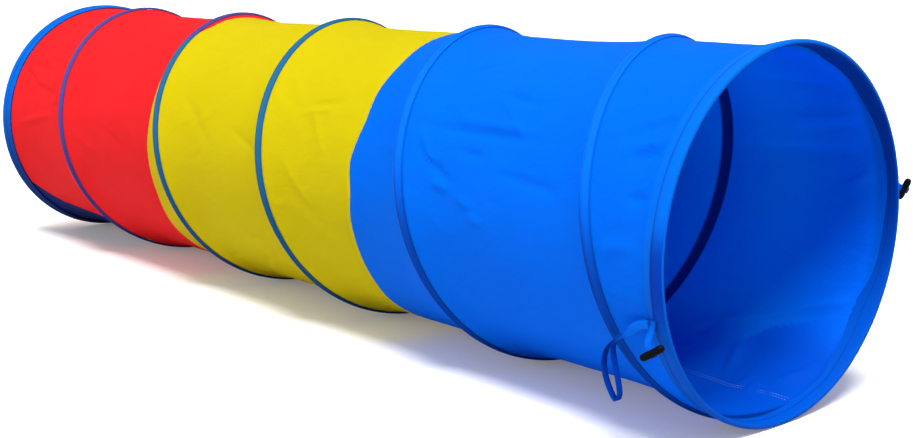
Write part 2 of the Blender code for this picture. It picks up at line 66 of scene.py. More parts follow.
# ---------------------------------------------------------------- shared form


@dataclass(frozen=True)
class TunnelForm:
    """Where the wire runs and where the fabric lies, the same as in the solids."""

    half_length: float = 0.900
    outer_radius: float = 0.240
    axis_height: float = 0.239260
    roundness: float = 0.996917
    coil_radius: float = 0.2366
    coil_setback: float = 0.0068
    coil_pitch: float = 0.352
    coil_turns: float = 5.075
    start_angle: float = math.radians(-22.5)
    slack_turn: float = 3.2
    slack_shift: float = 0.027
    wire_radius: float = 0.0015
    hoop_setback: float = 0.0034
    rib_radius: float = 0.2348
    hem_radius: float = 0.2340
    rib_half_width: float = 0.0083
    front_hem_line: float = 0.870
    rear_hem_line: float = -0.876
    blue_seam: float = 0.296
    red_seam: float = -0.305
    draw_in: float = 0.0115
    draw_in_power: float = 5.0
    keep: float = 0.08 / 1.80
    long_seam: Knots = ((0.68, -11.0), (0.708, -10.1), (0.790, -8.0), (0.871, -13.8))

    def long_seam_angle(self, x: np.ndarray) -> np.ndarray:
        """Angle of the seam that runs along the tunnel, at each place."""
        knots = np.array(self.long_seam)
        return np.radians(np.interp(x, knots[:, 0], knots[:, 1]))

    def angle(self, turn: np.ndarray) -> np.ndarray:
        """Angle of the wire after this many turns."""
        return self.start_angle + math.tau * turn

    def coil_x(self, turn: np.ndarray) -> np.ndarray:
        """Where the wire lies along the tunnel.

        Args:
            turn: turns counted from the front hoop.

        Returns:
            The place along X.
        """
        slack = np.minimum(1.0, np.abs(turn - self.slack_turn))
        shift = self.slack_shift * np.cos(math.pi / 2 * slack) ** 2
        return self.half_length - self.coil_setback - self.coil_pitch * turn + shift

    def place(self, x: np.ndarray, radius: np.ndarray, angle: np.ndarray) -> np.ndarray:
        """Points from their places along the tunnel, radii and angles.

        Args:
            x: place along the tunnel.
            radius: distance from the tunnel's axis, before it is rounded.
            angle: angle from the bottom towards the near side.

        Returns:
            An array of points, one row each.
        """
        x, radius, angle = np.broadcast_arrays(x, radius, angle)
        size = radius * self.roundness
        rows = (x, -size * np.sin(angle), self.axis_height - size * np.cos(angle))
        return np.stack(rows, axis=-1)

    def rib_places(self, angle: np.ndarray) -> np.ndarray:
        """Every place along X where the wire crosses an angle, one row per angle."""
        start = (angle - self.start_angle) / math.tau
        start = start - np.floor(start)
        return self.coil_x(start[:, None] + np.arange(-1, 8)[None, :])

    def skin_radius(self, x: np.ndarray, angle: np.ndarray) -> np.ndarray:
        """Outer radius of the taut fabric.

        Args:
            x: places along the tunnel.
            angle: their angles.

        Returns:
            The radius at each place.
        """
        ribs = self.rib_places(angle)
        half = self.rib_half_width
        column = x[:, None]
        front = np.where(ribs - half >= column, ribs - half, np.inf).min(axis=1)
        rear = np.where(ribs + half <= column, ribs + half, -np.inf).max(axis=1)
        on_rib = (np.abs(ribs - column) < half).any(axis=1)
        front_radius = np.where(front < self.front_hem_line, self.rib_radius, self.hem_radius)
        rear_radius = np.where(rear > self.rear_hem_line, self.rib_radius, self.hem_radius)
        front = np.minimum(front, self.front_hem_line)
        rear = np.maximum(rear, self.rear_hem_line)
        bay = np.maximum(front - rear, 1e-6)
        share = np.clip((front - x) / bay, 0.0, 1.0)
        size = np.minimum(1.0, bay / (self.coil_pitch - 2 * half)) ** 1.5
        drop = 1 - np.abs(2 * share - 1) ** self.draw_in_power
        flat = front_radius + (rear_radius - front_radius) * share
        return np.where(on_rib, self.rib_radius, flat - self.draw_in * size * drop)

    def soft_skin(self, x: np.ndarray, angle: np.ndarray) -> np.ndarray:
        """The fabric's radius with its breaks beside the ribs eased over 5 mm."""
        spread = (-2.5 * MM, 0.0, 2.5 * MM)
        return sum(self.skin_radius(x + step, angle) for step in spread) / 3


FORM = TunnelForm()


def half_turn(angle: np.ndarray) -> np.ndarray:
    """Angles brought between minus and plus half a turn."""
    return (angle + math.pi) % math.tau - math.pi


def ease(value: np.ndarray, low: float, high: float) -> np.ndarray:
    """A smooth step from 0 at the low value to 1 at the high one."""
    share = np.clip((value - low) / (high - low), 0, 1)
    return share * share * (3 - 2 * share)


def round_knots(knots: Knots, angle: np.ndarray, steps: Sequence[float]) -> np.ndarray:
    """A value that is given at a few angles in degrees, eased between them.

    Args:
        knots: the angles and values.
        angle: where the value is wanted, in radians.
        steps: the steps in degrees over which it is eased.

    Returns:
        The value at each angle.
    """
    turns, values = np.array(knots).T
    degrees = np.degrees(angle)
    eased = [np.interp(degrees + step, turns, values, period=360) for step in steps]
    return sum(eased) / len(steps)


@dataclass(frozen=True)
class Fold:
    """One soft ridge or crease, drawn between two places on the skin."""

    start: tuple[float, float]
    end: tuple[float, float]
    width: float
    height: float

    def lift(self, x: np.ndarray, angle: np.ndarray) -> np.ndarray:
        """How far this fold lifts the skin.

        Args:
            x: places along the tunnel.
            angle: their angles.

        Returns:
            The lift, outwards.
        """
        radius, first = FORM.rib_radius, self.start[0]
        turn = math.radians(self.end[1] - self.start[1])
        way = np.array([self.end[0] - first, turn * radius])
        length = float(np.hypot(*way))
        way = way / length
        off = half_turn(angle - math.radians(self.start[1])) * radius
        along = (x - first) * way[0] + off * way[1]
        aside = off * way[0] - (x - first) * way[1]
        taper = np.exp(-(np.abs((along - length / 2) / (length / 2)) ** 3))
        return self.height * taper * np.exp(-((aside / self.width) ** 2))


def folds_of(rows: Sequence[Sequence[float]]) -> list[Fold]:
    """Folds from rows of start, end, width and height, the last two in millimetres."""
    return [Fold((a, b), (c, d), wide * MM, high * MM) for a, b, c, d, wide, high in rows]


@dataclass(frozen=True)
class SeamLine:
    """A sewn line round the tunnel, straight or wandering a little along it."""

    x: float
    wander: Knots = ((0.0, 0.0),)

    def at(self, angle: np.ndarray) -> np.ndarray:
        """Where the line lies along X at each angle."""
        return self.x + round_knots(self.wander, angle, (-2.0, 0.0, 2.0)) * MM


def stray_folds(seed: int, count: int, front: float, rear: float) -> list[Fold]:
    """Short faint folds, mostly along the tunnel, such as creased cloth keeps.

    Args:
        seed: starts the row of random values.
        count: how many folds there are.
        front: the place nearer the front between which they lie.
        rear: the place nearer the rear.

    Returns:
        The folds.
    """
    draw = np.random.default_rng(seed)
    folds = []
    for _ in range(count):
        x, turn = draw.uniform(rear, front), draw.uniform(-180, 180)
        length, lean = draw.uniform(40, 120) * MM, draw.normal(0, 28)
        reach = length * math.cos(math.radians(lean))
        swing = length * math.sin(math.radians(lean)) / FORM.rib_radius
        height = draw.choice((-1, 1)) * draw.uniform(0.8, 2.0) * MM
        end = (x + reach, turn + math.degrees(swing))
        folds.append(Fold((x, turn), end, draw.uniform(4, 8) * MM, height))
    return folds


# ------------------------------------------------------------------- meshes


def new_object(name: str, data: bpy.types.ID) -> bpy.types.Object:
    """An object in the scene that holds a mesh, a light or a camera."""
    made = bpy.data.objects.new(name, data)
    bpy.context.scene.collection.objects.link(made)
    return made


class MeshDraft:
    """Points, faces and a flat layout of one piece on its way to an object."""

    def __init__(self, points: np.ndarray, faces: Sequence[Sequence[int]]) -> None:
        """Keep the points and faces.

        Args:
            points: one row for each point.
            faces: the corners of each face.
        """
        self.points = np.asarray(points, float).reshape(-1, 3)
        self.faces = [tuple(int(i) for i in face) for face in faces]
        self.layout: np.ndarray | None = None
        self.wrap = 0.0

    def lay_flat(self, layout: np.ndarray, wrap: float = 0.0) -> "MeshDraft":
        """Give each point its place on the cut cloth.

        Args:
            layout: the places, in metres, one row for each point.
            wrap: the way round, where the first of the two places starts again.

        Returns:
            This draft.
        """
        self.layout = np.asarray(layout, float)
        self.wrap = wrap
        return self

    def build(self, name: str, sharp: float = 50.0) -> bpy.types.Object:
        """Make the object, with its faces outwards.

        Args:
            name: the piece's name.
            sharp: the angle in degrees past which an edge stays sharp.

        Returns:
            The new object.
        """
        mesh = bpy.data.meshes.new(name)
        mesh.from_pydata(self.points.tolist(), [], self.faces)
        mesh.update()
        if signed_volume(mesh) < 0:
            mesh.flip_normals()
        if self.layout is not None:
            self._write_layout(mesh)
        mesh.shade_smooth()
        mesh.set_sharp_from_angle(angle=math.radians(sharp))
        return new_object(name, mesh)

    def _write_layout(self, mesh: bpy.types.Mesh) -> None:
        """Write the layout as the piece's UV map, in metres.

        Args:
            mesh: the mesh to write to.
        """
        corners = np.zeros(len(mesh.loops), np.int64)
        mesh.loops.foreach_get("vertex_index", corners)
        starts = np.zeros(len(mesh.polygons), np.int64)
        sizes = np.zeros(len(mesh.polygons), np.int64)
        mesh.polygons.foreach_get("loop_start", starts)
        mesh.polygons.foreach_get("loop_total", sizes)
        places = self.layout[corners]
        if self.wrap:
            first = np.repeat(places[starts, 0], sizes)
            places[:, 0] -= self.wrap * np.round((places[:, 0] - first) / self.wrap)
        layer = mesh.uv_layers.new(name="UVMap")
        layer.data.foreach_set("uv", places.astype(np.float32).ravel())


def signed_volume(mesh: bpy.types.Mesh) -> float:
    """Volume of a closed mesh, below zero if its faces point inwards."""
    mesh.calc_loop_triangles()
    corners = np.zeros(len(mesh.loop_triangles) * 3, np.int64)
    mesh.loop_triangles.foreach_get("vertices", corners)
    points = np.zeros(len(mesh.vertices) * 3)
    mesh.vertices.foreach_get("co", points)
    a, b, c = points.reshape(-1, 3)[corners.reshape(-1, 3)].transpose(1, 0, 2)
    return float((a * np.cross(b, c)).sum() / 6)


def swept_faces(rings: int, points: int, closed: bool) -> list[tuple[int, ...]]:
    """Faces of a row of like rings.

    Args:
        rings: how many rings there are.
        points: how many points each ring has.
        closed: whether the last ring joins the first; else both ends are capped.

    Returns:
        The faces' corners.
    """
    faces: list[tuple[int, ...]] = []
    for i in range(rings if closed else rings - 1):
        after = (i + 1) % rings
        for j in range(points):
            k = (j + 1) % points
            faces.append(
                (i * points + j, after * points + j, after * points + k, i * points + k))
    if not closed:
        faces.append(tuple(range(points)))
        faces.append(tuple((rings - 1) * points + j for j in reversed(range(points))))
    return faces


def smooth_course(points: np.ndarray, steps: int) -> np.ndarray:
    """Even places on a smooth curve through the given ones.

    Args:
        points: the given places, one row each.
        steps: how many steps the curve gets.

    Returns:
        The curve's places, one row each.
    """
    points = np.asarray(points, float)
    ends = (2 * points[:1] - points[1:2], points, 2 * points[-1:] - points[-2:-1])
    padded = np.concatenate(ends)
    reach = np.linspace(0, len(points) - 1, steps + 1)
    leg = np.minimum(reach.astype(int), len(points) - 2)
    share = (reach - leg)[:, None]
    a, b, c, d = (padded[leg + i] for i in range(4))
    return 0.5 * (
        2 * b + (c - a) * share + (2 * a - 5 * b + 4 * c - d) * share**2
        + (3 * b - a - 3 * c + d) * share**3)


def unit(rows: np.ndarray) -> np.ndarray:
    """Rows scaled to length one."""
    return rows / np.maximum(np.linalg.norm(rows, axis=-1, keepdims=True), 1e-12)


def course_ways(course: np.ndarray) -> np.ndarray:
    """The way that a course runs at each of its places."""
    padded = np.concatenate((course[:1], course, course[-1:]))
    return unit(padded[2:] - padded[:-2])


def band_section(width: float, thickness: float, curl: float) -> np.ndarray:
    """Section of a ribbon or strap, rounded at its edges.

    Args:
        width: the band's width.
        thickness: its thickness.
        curl: how far its middle stands out from its edges.

    Returns:
        Points, each across and out from the band's line.
    """
    half, deep = width / 2, thickness / 2
    across = np.linspace(-half + deep, half - deep, 7)
    bow = curl * (1 - (across / half) ** 2)
    upper = np.stack((across, bow + deep), axis=1)
    lower = np.stack((across, bow - deep), axis=1)[::-1]
    right = [(half - deep * 0.3, bow[-1] + deep * 0.55), (half, bow[-1])]
    right += [(half - deep * 0.3, bow[-1] - deep * 0.55)]
    left = [(-x, y) for x, y in reversed(right)]
    return np.concatenate((upper, np.array(right), lower, np.array(left)))


def lay_out(across: np.ndarray, along: np.ndarray) -> np.ndarray:
    """Pairs of places across and along a band, one row for each."""
    return np.stack(np.broadcast_arrays(across, along), axis=-1).reshape(-1, 2)


def run_along(course: np.ndarray) -> np.ndarray:
    """How far along a course each of its places lies."""
    lengths = np.linalg.norm(np.diff(course, axis=0), axis=1)
    return np.concatenate(([0.0], np.cumsum(lengths)))


def sweep_band(
    name: str, course: np.ndarray, width_ways: np.ndarray, section: np.ndarray
) -> bpy.types.Object:
    """Sweep a flat band along a course.

    Args:
        name: the piece's name.
        course: the places that the band runs through.
        width_ways: the way across the band at each place.
        section: the band's section.

    Returns:
        The band as an object.
    """
    ways = course_ways(course)
    face_ways = unit(np.cross(ways, width_ways))
    across = unit(np.cross(face_ways, ways))
    rings = course[:, None] + across[:, None] * section[None, :, :1]
    rings = rings + face_ways[:, None] * section[None, :, 1:]
    faces = swept_faces(len(course), len(section), closed=False)
    flat = lay_out(section[None, :, 0], run_along(course)[:, None])
    return MeshDraft(rings, faces).lay_flat(flat).build(name)


def grid_shell(low: np.ndarray, high: np.ndarray, flat: np.ndarray, columns: int) -> MeshDraft:
    """A thin closed sheet between two like grids of points.

    Args:
        low: the points of its lower face, one row each.
        high: the points of its upper face.
        flat: where the points of one face lie on the cut cloth.
        columns: how many columns each grid has.

    Returns:
        The sheet, laid flat.
    """
    count = len(low)
    rows = count // columns
    faces = []
    for i in range(rows - 1):
        for j in range(columns - 1):
            a = i * columns + j
            quad = (a, a + columns, a + columns + 1, a + 1)
            faces += [quad, tuple(count + k for k in reversed(quad))]
    ring = [(i, 0) for i in range(rows - 1)]
    ring += [(rows - 1, j) for j in range(columns - 1)]
    ring += [(i, columns - 1) for i in range(rows - 1, 0, -1)]
    ring += [(0, j) for j in range(columns - 1, 0, -1)]
    rim = [i * columns + j for i, j in ring]
    faces += [(b, a, a + count, b + count) for a, b in zip(rim, rim[1:] + rim[:1])]
    return MeshDraft(np.concatenate((low, high)), faces).lay_flat(np.concatenate((flat, flat)))


def rough(points: np.ndarray, size: float, octaves: int, shift: float) -> np.ndarray:
    """Smooth noise at places in space.

    Args:
        points: the places, one row each.
        size: how large its waves are.
        octaves: how many finer layers it has.
        shift: moves the noise, so that two uses differ.

    Returns:
        Values from about -1 to 1.
    """
    rows = (points / size + shift).tolist()
    return np.array([noise.fractal(row, 1.0, 2.0, octaves) for row in rows])


def write_tint(piece: bpy.types.Object, colours: np.ndarray) -> None:
    """Keep a colour and its share at each point of a piece.

    Args:
        piece: the piece.
        colours: red, green, blue and share, one row for each point.
    """
    layer = piece.data.attributes.new("tint", "FLOAT_COLOR", "POINT")
    layer.data.foreach_set("color", np.asarray(colours, np.float32).ravel())


# ---------------------------------------------------------- nodes and finishes


def spaced(values: dict) -> dict:
    """Named values with a space for each _ in their names."""
    return {name.replace("_", " "): value for name, value in values.items()}


class NodeDesk:
    """Adds and links the nodes of one tree, from left to right."""

    def __init__(self, tree: bpy.types.NodeTree) -> None:
        """Start with an empty tree.

        Args:
            tree: the tree to fill.
        """
        self.tree = tree
        self.tree.nodes.clear()
        self.column = 0

    def socket(self, name: str, kind: str, side: str = "INPUT") -> bpy.types.bpy_struct:
        """Give the tree itself a named input or output of a kind."""
        kind = "NodeSocket" + kind
        return self.tree.interface.new_socket(name=name, in_out=side, socket_type=kind)

    def add(self, kind: str, inputs: dict | None = None, **settings) -> bpy.types.Node:
        """Add one node.

        Args:
            kind: the node's type.
            inputs: values or sockets for its inputs, by name or number.
            **settings: values for its own properties.

        Returns:
            The node.
        """
        node = self.tree.nodes.new(kind)
        node.location = (self.column, 0)
        self.column += 190
        for key, value in settings.items():
            setattr(node, key, value)
        for key, value in (inputs or {}).items():
            self.feed(node.inputs[key], value)
        return node

    def feed(self, socket: Socket, value: Socket | float | tuple) -> None:
        """Link a socket to an input, or set the input's value."""
        if isinstance(value, bpy.types.NodeSocket):
            self.tree.links.new(value, socket)
        else:
            socket.default_value = value

    def math(self, operation: str, *values: Socket | float, clamp: bool = False) -> Socket:
        """A Math node's result.

        Args:
            operation: what it does.
            *values: its inputs, values or sockets.
            clamp: whether the result is kept between 0 and 1.

        Returns:
            The output socket.
        """
        inputs = dict(enumerate(values))
        node = self.add("ShaderNodeMath", inputs, operation=operation, use_clamp=clamp)
        return node.outputs[0]

    def mix(
        self, share: Socket | float, first: Socket | Colour, second: Socket | Colour
    ) -> Socket:
        """A colour mix.

        Args:
            share: how much of the second colour shows.
            first: the first colour, a value or a socket.
            second: the second colour, a value or a socket.

        Returns:
            The output socket.
        """
        node = self.add("ShaderNodeMix", {0: share}, data_type="RGBA")
        for socket, value in zip(node.inputs[6:8], (first, second)):
            self.feed(socket, (*value, 1.0) if isinstance(value, tuple) else value)
        return node.outputs[2]

    def noise(
        self, place: Socket, scale: Socket | float, detail: float, distortion: float = 0.0
    ) -> Socket:
        """A noise that changes over the surface.

        Args:
            place: where it lies.
            scale: how many waves it has to the metre.
            detail: how many finer layers it has.
            distortion: how much it is twisted.

        Returns:
            Its value.
        """
        inputs = {"Vector": place, "Scale": scale, "Detail": detail, "Distortion": distortion}
        return self.add("ShaderNodeTexNoise", inputs).outputs[0]

    def spread(
        self, value: Socket, found: tuple[float, float], wanted: tuple[float, float]
    ) -> Socket:
        """A value brought from one range to another.

        Args:
            value: the value.
            found: the ends of its own range.
            wanted: the ends of the range that it gets.

        Returns:
            The new value.
        """
        inputs = dict(enumerate((value, *found, *wanted)))
        return self.add("ShaderNodeMapRange", inputs).outputs[0]


class Effect(Enum):
    """Shader effects that several finishes share."""

    WEAVE = "cloth_weave"
    CRINKLE = "cloth_crinkle"
    TONE = "uneven_tone"


class EffectDesk(NodeDesk):
    """The node group of one shared effect."""

    def __init__(self, effect: Effect) -> None:
        """Build the group, with its named inputs and outputs.

        Args:
            effect: which effect it holds.
        """
        super().__init__(bpy.data.node_groups.new(effect.value, "ShaderNodeTree"))
        sizes, make = {
            Effect.WEAVE: ({"Thread Spacing": 0.0005, "Rib": 1.0}, self._weave),
            Effect.CRINKLE: ({"Size": 0.014, "Stretch": 5.0, "Sharpness": 4.0}, self._crinkle),
            Effect.TONE: ({"Size": 0.2}, self._tone)
        }[effect]
        self.socket("Place", "Vector")
        for label, value in sizes.items():
            self.socket(label, "Float").default_value = value
        self.source = self.add("NodeGroupInput").outputs
        made = make()
        for label in made:
            self.socket(label, "Float", "OUTPUT")
        self.add("NodeGroupOutput", made)

    def _weave(self) -> dict[str, Socket]:
        """Plain weave: threads that pass over and under each other.

        Returns:
            The group's outputs.
        """
        parts = self.add("ShaderNodeSeparateXYZ", {0: self.source["Place"]}).outputs
        spacing = self.source["Thread Spacing"]
        steps = (spacing, self.math("MULTIPLY", spacing, self.source["Rib"]))
        waves = []
        for part, step in zip(parts, steps):
            run = self.math("MULTIPLY", self.math("DIVIDE", part, step), math.pi)
            waves.append(self.math("SINE", run))
        over = self.math("GREATER_THAN", self.math("MULTIPLY", *waves), 0.0)
        warp, weft = (self.math("ABSOLUTE", wave) for wave in waves)
        warp_part = self.math("MULTIPLY", warp, over)
        weft_part = self.math("MULTIPLY", weft, self.math("SUBTRACT", 1.0, over))
        height = self.math("ADD", warp_part, weft_part)
        valley = self.math("MINIMUM", warp, weft)
        return {"Height": height, "Shade": self.math("SUBTRACT", 1.0, valley, clamp=True)}

    def _crinkle(self) -> dict[str, Socket]:
        """Soft streaks and faint creases of thin cloth that has been folded small.

        Returns:
            The group's outputs.
        """
        lean = {"Vector": self.source["Place"], "Rotation": (0.0, 0.35, 0.42)}
        turned = self.add("ShaderNodeVectorRotate", lean, rotation_type="EULER_XYZ").outputs[0]
        narrow = self.math("DIVIDE", 1.0, self.source["Size"])
        long = self.math("DIVIDE", narrow, self.source["Stretch"])
        ways = self.add("ShaderNodeCombineXYZ", {0: long, 1: narrow, 2: narrow}).outputs[0]
        place = self.add("ShaderNodeVectorMath", {0: turned, 1: ways}, operation="MULTIPLY")
        broad = self.noise(place.outputs[0], scale=0.6, detail=1.5, distortion=0.3)
        fine = self.noise(place.outputs[0], scale=0.9, detail=0.5, distortion=0.5)
        off = self.math("ABSOLUTE", self.math("SUBTRACT", fine, 0.5))
        ridge = self.math("SUBTRACT", 1.0, self.math("MULTIPLY", off, 6.0, clamp=True))
        crease = self.math("POWER", ridge, self.source["Sharpness"])
        height = self.math("ADD", broad, self.math("MULTIPLY", crease, -0.12))
        return {"Height": height, "Crease": crease}

    def _tone(self) -> dict[str, Socket]:
        """Slow change of dye and light handling dirt.

        Returns:
            The group's outputs.
        """
        scale = self.math("DIVIDE", 1.0, self.source["Size"])
        slow = self.noise(self.source["Place"], scale, detail=3.0)
        quick = self.math("MULTIPLY", scale, 14.0)
        speck = self.noise(self.source["Place"], quick, detail=4.0)
        return {"Tone": slow, "Speck": self.spread(speck, (0.58, 0.74), (0.0, 1.0))}


@lru_cache(maxsize=None)
def effect_group(effect: Effect) -> bpy.types.NodeTree:
    """The node group of an effect, built once."""
    return EffectDesk(effect).tree


class FinishDesk(NodeDesk):
    """One material, with the nodes that several finishes have."""

    def __init__(self, name: str) -> None:
        """Start a material.

        Args:
            name: the material's name.
        """
        self.material = bpy.data.materials.new(name)
        self.material.use_nodes = True
        super().__init__(self.material.node_tree)
        self.place = self.add("ShaderNodeTexCoord").outputs["Object"]

    def effect(
        self, effect: Effect, place: Socket | None = None, **sizes: float
    ) -> bpy.types.bpy_prop_collection:
        """Place a shared effect.

        Args:
            effect: which one.
            place: where it lies, if not on the object's own places.
            **sizes: its inputs, with _ for a space.

        Returns:
            Its outputs.
        """
        inputs = {"Place": self.place if place is None else place, **spaced(sizes)}
        return self.add("ShaderNodeGroup", inputs, node_tree=effect_group(effect)).outputs

    def bump(
        self, height: Socket, depth: float, strength: float = 1.0, under: Socket | None = None
    ) -> Socket:
        """A bump of the surface.

        Args:
            height: how high it stands.
            depth: the height of a whole step, in metres.
            strength: how much of it shows.
            under: the normal that it lies on, if there is one.

        Returns:
            The new normal.
        """
        inputs = {"Strength": strength, "Distance": depth, "Height": height}
        if under is not None:
            inputs["Normal"] = under
        return self.add("ShaderNodeBump", inputs).outputs[0]

    def shader(self, **inputs: Socket | float | Colour) -> Socket:
        """A Principled shader with these inputs, named with _ for a space."""
        return self.add("ShaderNodeBsdfPrincipled", spaced(inputs)).outputs[0]

    def close(self, surface: Socket) -> bpy.types.Material:
        """The material, with this shader as its surface."""
        self.add("ShaderNodeOutputMaterial", {"Surface": surface})
        return self.material


TONE_RANGE = (0.3, 0.7)


@dataclass(frozen=True)
class ClothFinish:
    """Woven synthetic cloth, thin enough to let light through."""

    name: str
    colour: Colour
    deep: Colour
    glow: float = 0.45
    roughness: float = 0.55
    spacing: float = 0.0007
    rib: float = 1.0
    weave_depth: float = 0.00005
    crinkle_size: float = 0.014
    crinkle_stretch: float = 5.0
    crinkle_depth: float = 0.0013
    sheen: float = 0.0
    gloss: float = 0.03
    tint_share: float = 0.0
    deep_patches: float = 0.4
    valley_shade: float = 0.12
    crease_shade: float = 0.10

    def build(self) -> bpy.types.Material:
        """Make the material.

        Returns:
            The material, with its weave, creases, painted shade in their hollows, and uneven
            tone.
        """
        desk = FinishDesk(self.name)
        cut = desk.add("ShaderNodeUVMap", uv_map="UVMap").outputs[0]
        weave = desk.effect(Effect.WEAVE, cut, Thread_Spacing=self.spacing, Rib=self.rib)
        crinkle = desk.effect(
            Effect.CRINKLE, Size=self.crinkle_size, Stretch=self.crinkle_stretch)
        tone = desk.effect(Effect.TONE)["Tone"]
        patches = desk.spread(tone, TONE_RANGE, (0.0, self.deep_patches))
        base = desk.mix(patches, self.colour, self.deep)
        # painted shade in the weave's valleys and in the creases
        valleys = desk.math("MULTIPLY", weave["Shade"], self.valley_shade)
        base = desk.mix(valleys, base, self.deep)
        creased = desk.math("MULTIPLY", crinkle["Crease"], self.crease_shade)
        base = desk.mix(creased, base, self.deep)
        if self.tint_share:
            tint = desk.add("ShaderNodeAttribute", attribute_name="tint").outputs
            share = desk.math("MULTIPLY", tint["Alpha"], self.tint_share)
            base = desk.mix(share, base, tint["Color"])
        rough_range = (self.roughness - 0.05, self.roughness + 0.07)
        threads = desk.bump(weave["Height"], self.weave_depth)
        creases = desk.bump(crinkle["Height"], self.crinkle_depth, under=threads)
        surface = desk.shader(
            Base_Color=base, Roughness=desk.spread(tone, TONE_RANGE, rough_range),
            Normal=creases, Sheen_Weight=self.sheen, Sheen_Roughness=0.4,
            Specular_IOR_Level=self.gloss)
        if self.glow:
            through = desk.add("ShaderNodeBsdfTranslucent", {"Color": base, "Normal": creases})
            both = {0: self.glow, 1: surface, 2: through.outputs[0]}
            surface = desk.add("ShaderNodeMixShader", both).outputs[0]
        return desk.close(surface)


@dataclass(frozen=True)
class ThreadFinish:
    """Sewing thread, lightly twisted."""

    name: str
    colour: Colour
    deep: Colour

    def build(self) -> bpy.types.Material:
        """Make the material.

        Returns:
            The material, with its twist.
        """
        desk = FinishDesk(self.name)
        twist = desk.noise(desk.place, scale=900.0, detail=1.0)
        surface = desk.shader(
            Base_Color=desk.mix(twist, self.colour, self.deep), Roughness=0.6,
            Normal=desk.bump(twist, 0.2 * MM, strength=0.6), Specular_IOR_Level=0.1)
        return desk.close(surface)


@dataclass(frozen=True)
class SteelFinish:
    """Drawn spring wire with a thin film of oil."""

    name: str = "spring_wire_finish"
    colour: Colour = (0.50, 0.50, 0.52)
    dull: Colour = (0.20, 0.19, 0.19)
    roughness: float = 0.32
    spot_size: float = 0.02

    def build(self) -> bpy.types.Material:
        """Make the material.

        Returns:
            The material, with its draw marks and dull spots.
        """
        desk = FinishDesk(self.name)
        tone = desk.effect(Effect.TONE, Size=self.spot_size)
        rough_range = (self.roughness - 0.08, self.roughness + 0.15)
        surface = desk.shader(
            Base_Color=desk.mix(tone["Speck"], self.colour, self.dull),
            Roughness=desk.spread(tone["Tone"], TONE_RANGE, rough_range), Metallic=1.0,
            Normal=desk.bump(tone["Speck"], 0.1 * MM, strength=0.3))
        return desk.close(surface)


@dataclass(frozen=True)
class PlasticFinish:
    """Moulded plastic with a fine spark-eroded grain and rubbed spots."""

    name: str = "toggle_plastic_finish"
    colour: Colour = (0.002, 0.002, 0.0025)
    rubbed: Colour = (0.008, 0.008, 0.009)
    roughness: float = 0.36
    spot_size: float = 0.012

    def build(self) -> bpy.types.Material:
        """Make the material.

        Returns:
            The material, with its grain and rubbed spots.
        """
        desk = FinishDesk(self.name)
        tone = desk.effect(Effect.TONE, Size=self.spot_size)
        grain = desk.noise(desk.place, scale=2600.0, detail=2.0)
        rough_range = (self.roughness - 0.06, self.roughness + 0.10)
        surface = desk.shader(
            Base_Color=desk.mix(tone["Speck"], self.colour, self.rubbed),
            Roughness=desk.spread(tone["Tone"], TONE_RANGE, rough_range),
            Normal=desk.bump(grain, 0.04 * MM, strength=0.5), Specular_IOR_Level=0.05)
        return desk.close(surface)


@dataclass(frozen=True)
class FloorFinish:
    """Plain pale studio floor, which throws back less light than it shows."""

    name: str = "studio_floor_finish"
    colour: Colour = (0.93, 0.93, 0.93)
    soiled: Colour = (0.90, 0.90, 0.90)
    bounce: Colour = (0.66, 0.66, 0.66)
    lift: float = 0.16

    def build(self) -> bpy.types.Material:
        """Make the material.

        Returns:
            The material, a little lifted where the camera sees it.
        """
        desk = FinishDesk(self.name)
        cloud = desk.noise(desk.place, scale=1.5, detail=2.0)
        pale = desk.mix(cloud, self.colour, self.soiled)
        seen = desk.add("ShaderNodeLightPath").outputs["Is Camera Ray"]
        surface = desk.shader(
            Base_Color=desk.mix(seen, self.bounce, pale), Roughness=0.8, Specular_IOR_Level=0.1,
            Emission_Color=pale, Emission_Strength=desk.math("MULTIPLY", seen, self.lift))
        return desk.close(surface)


# --------------------------------------------------------- geometry node tools


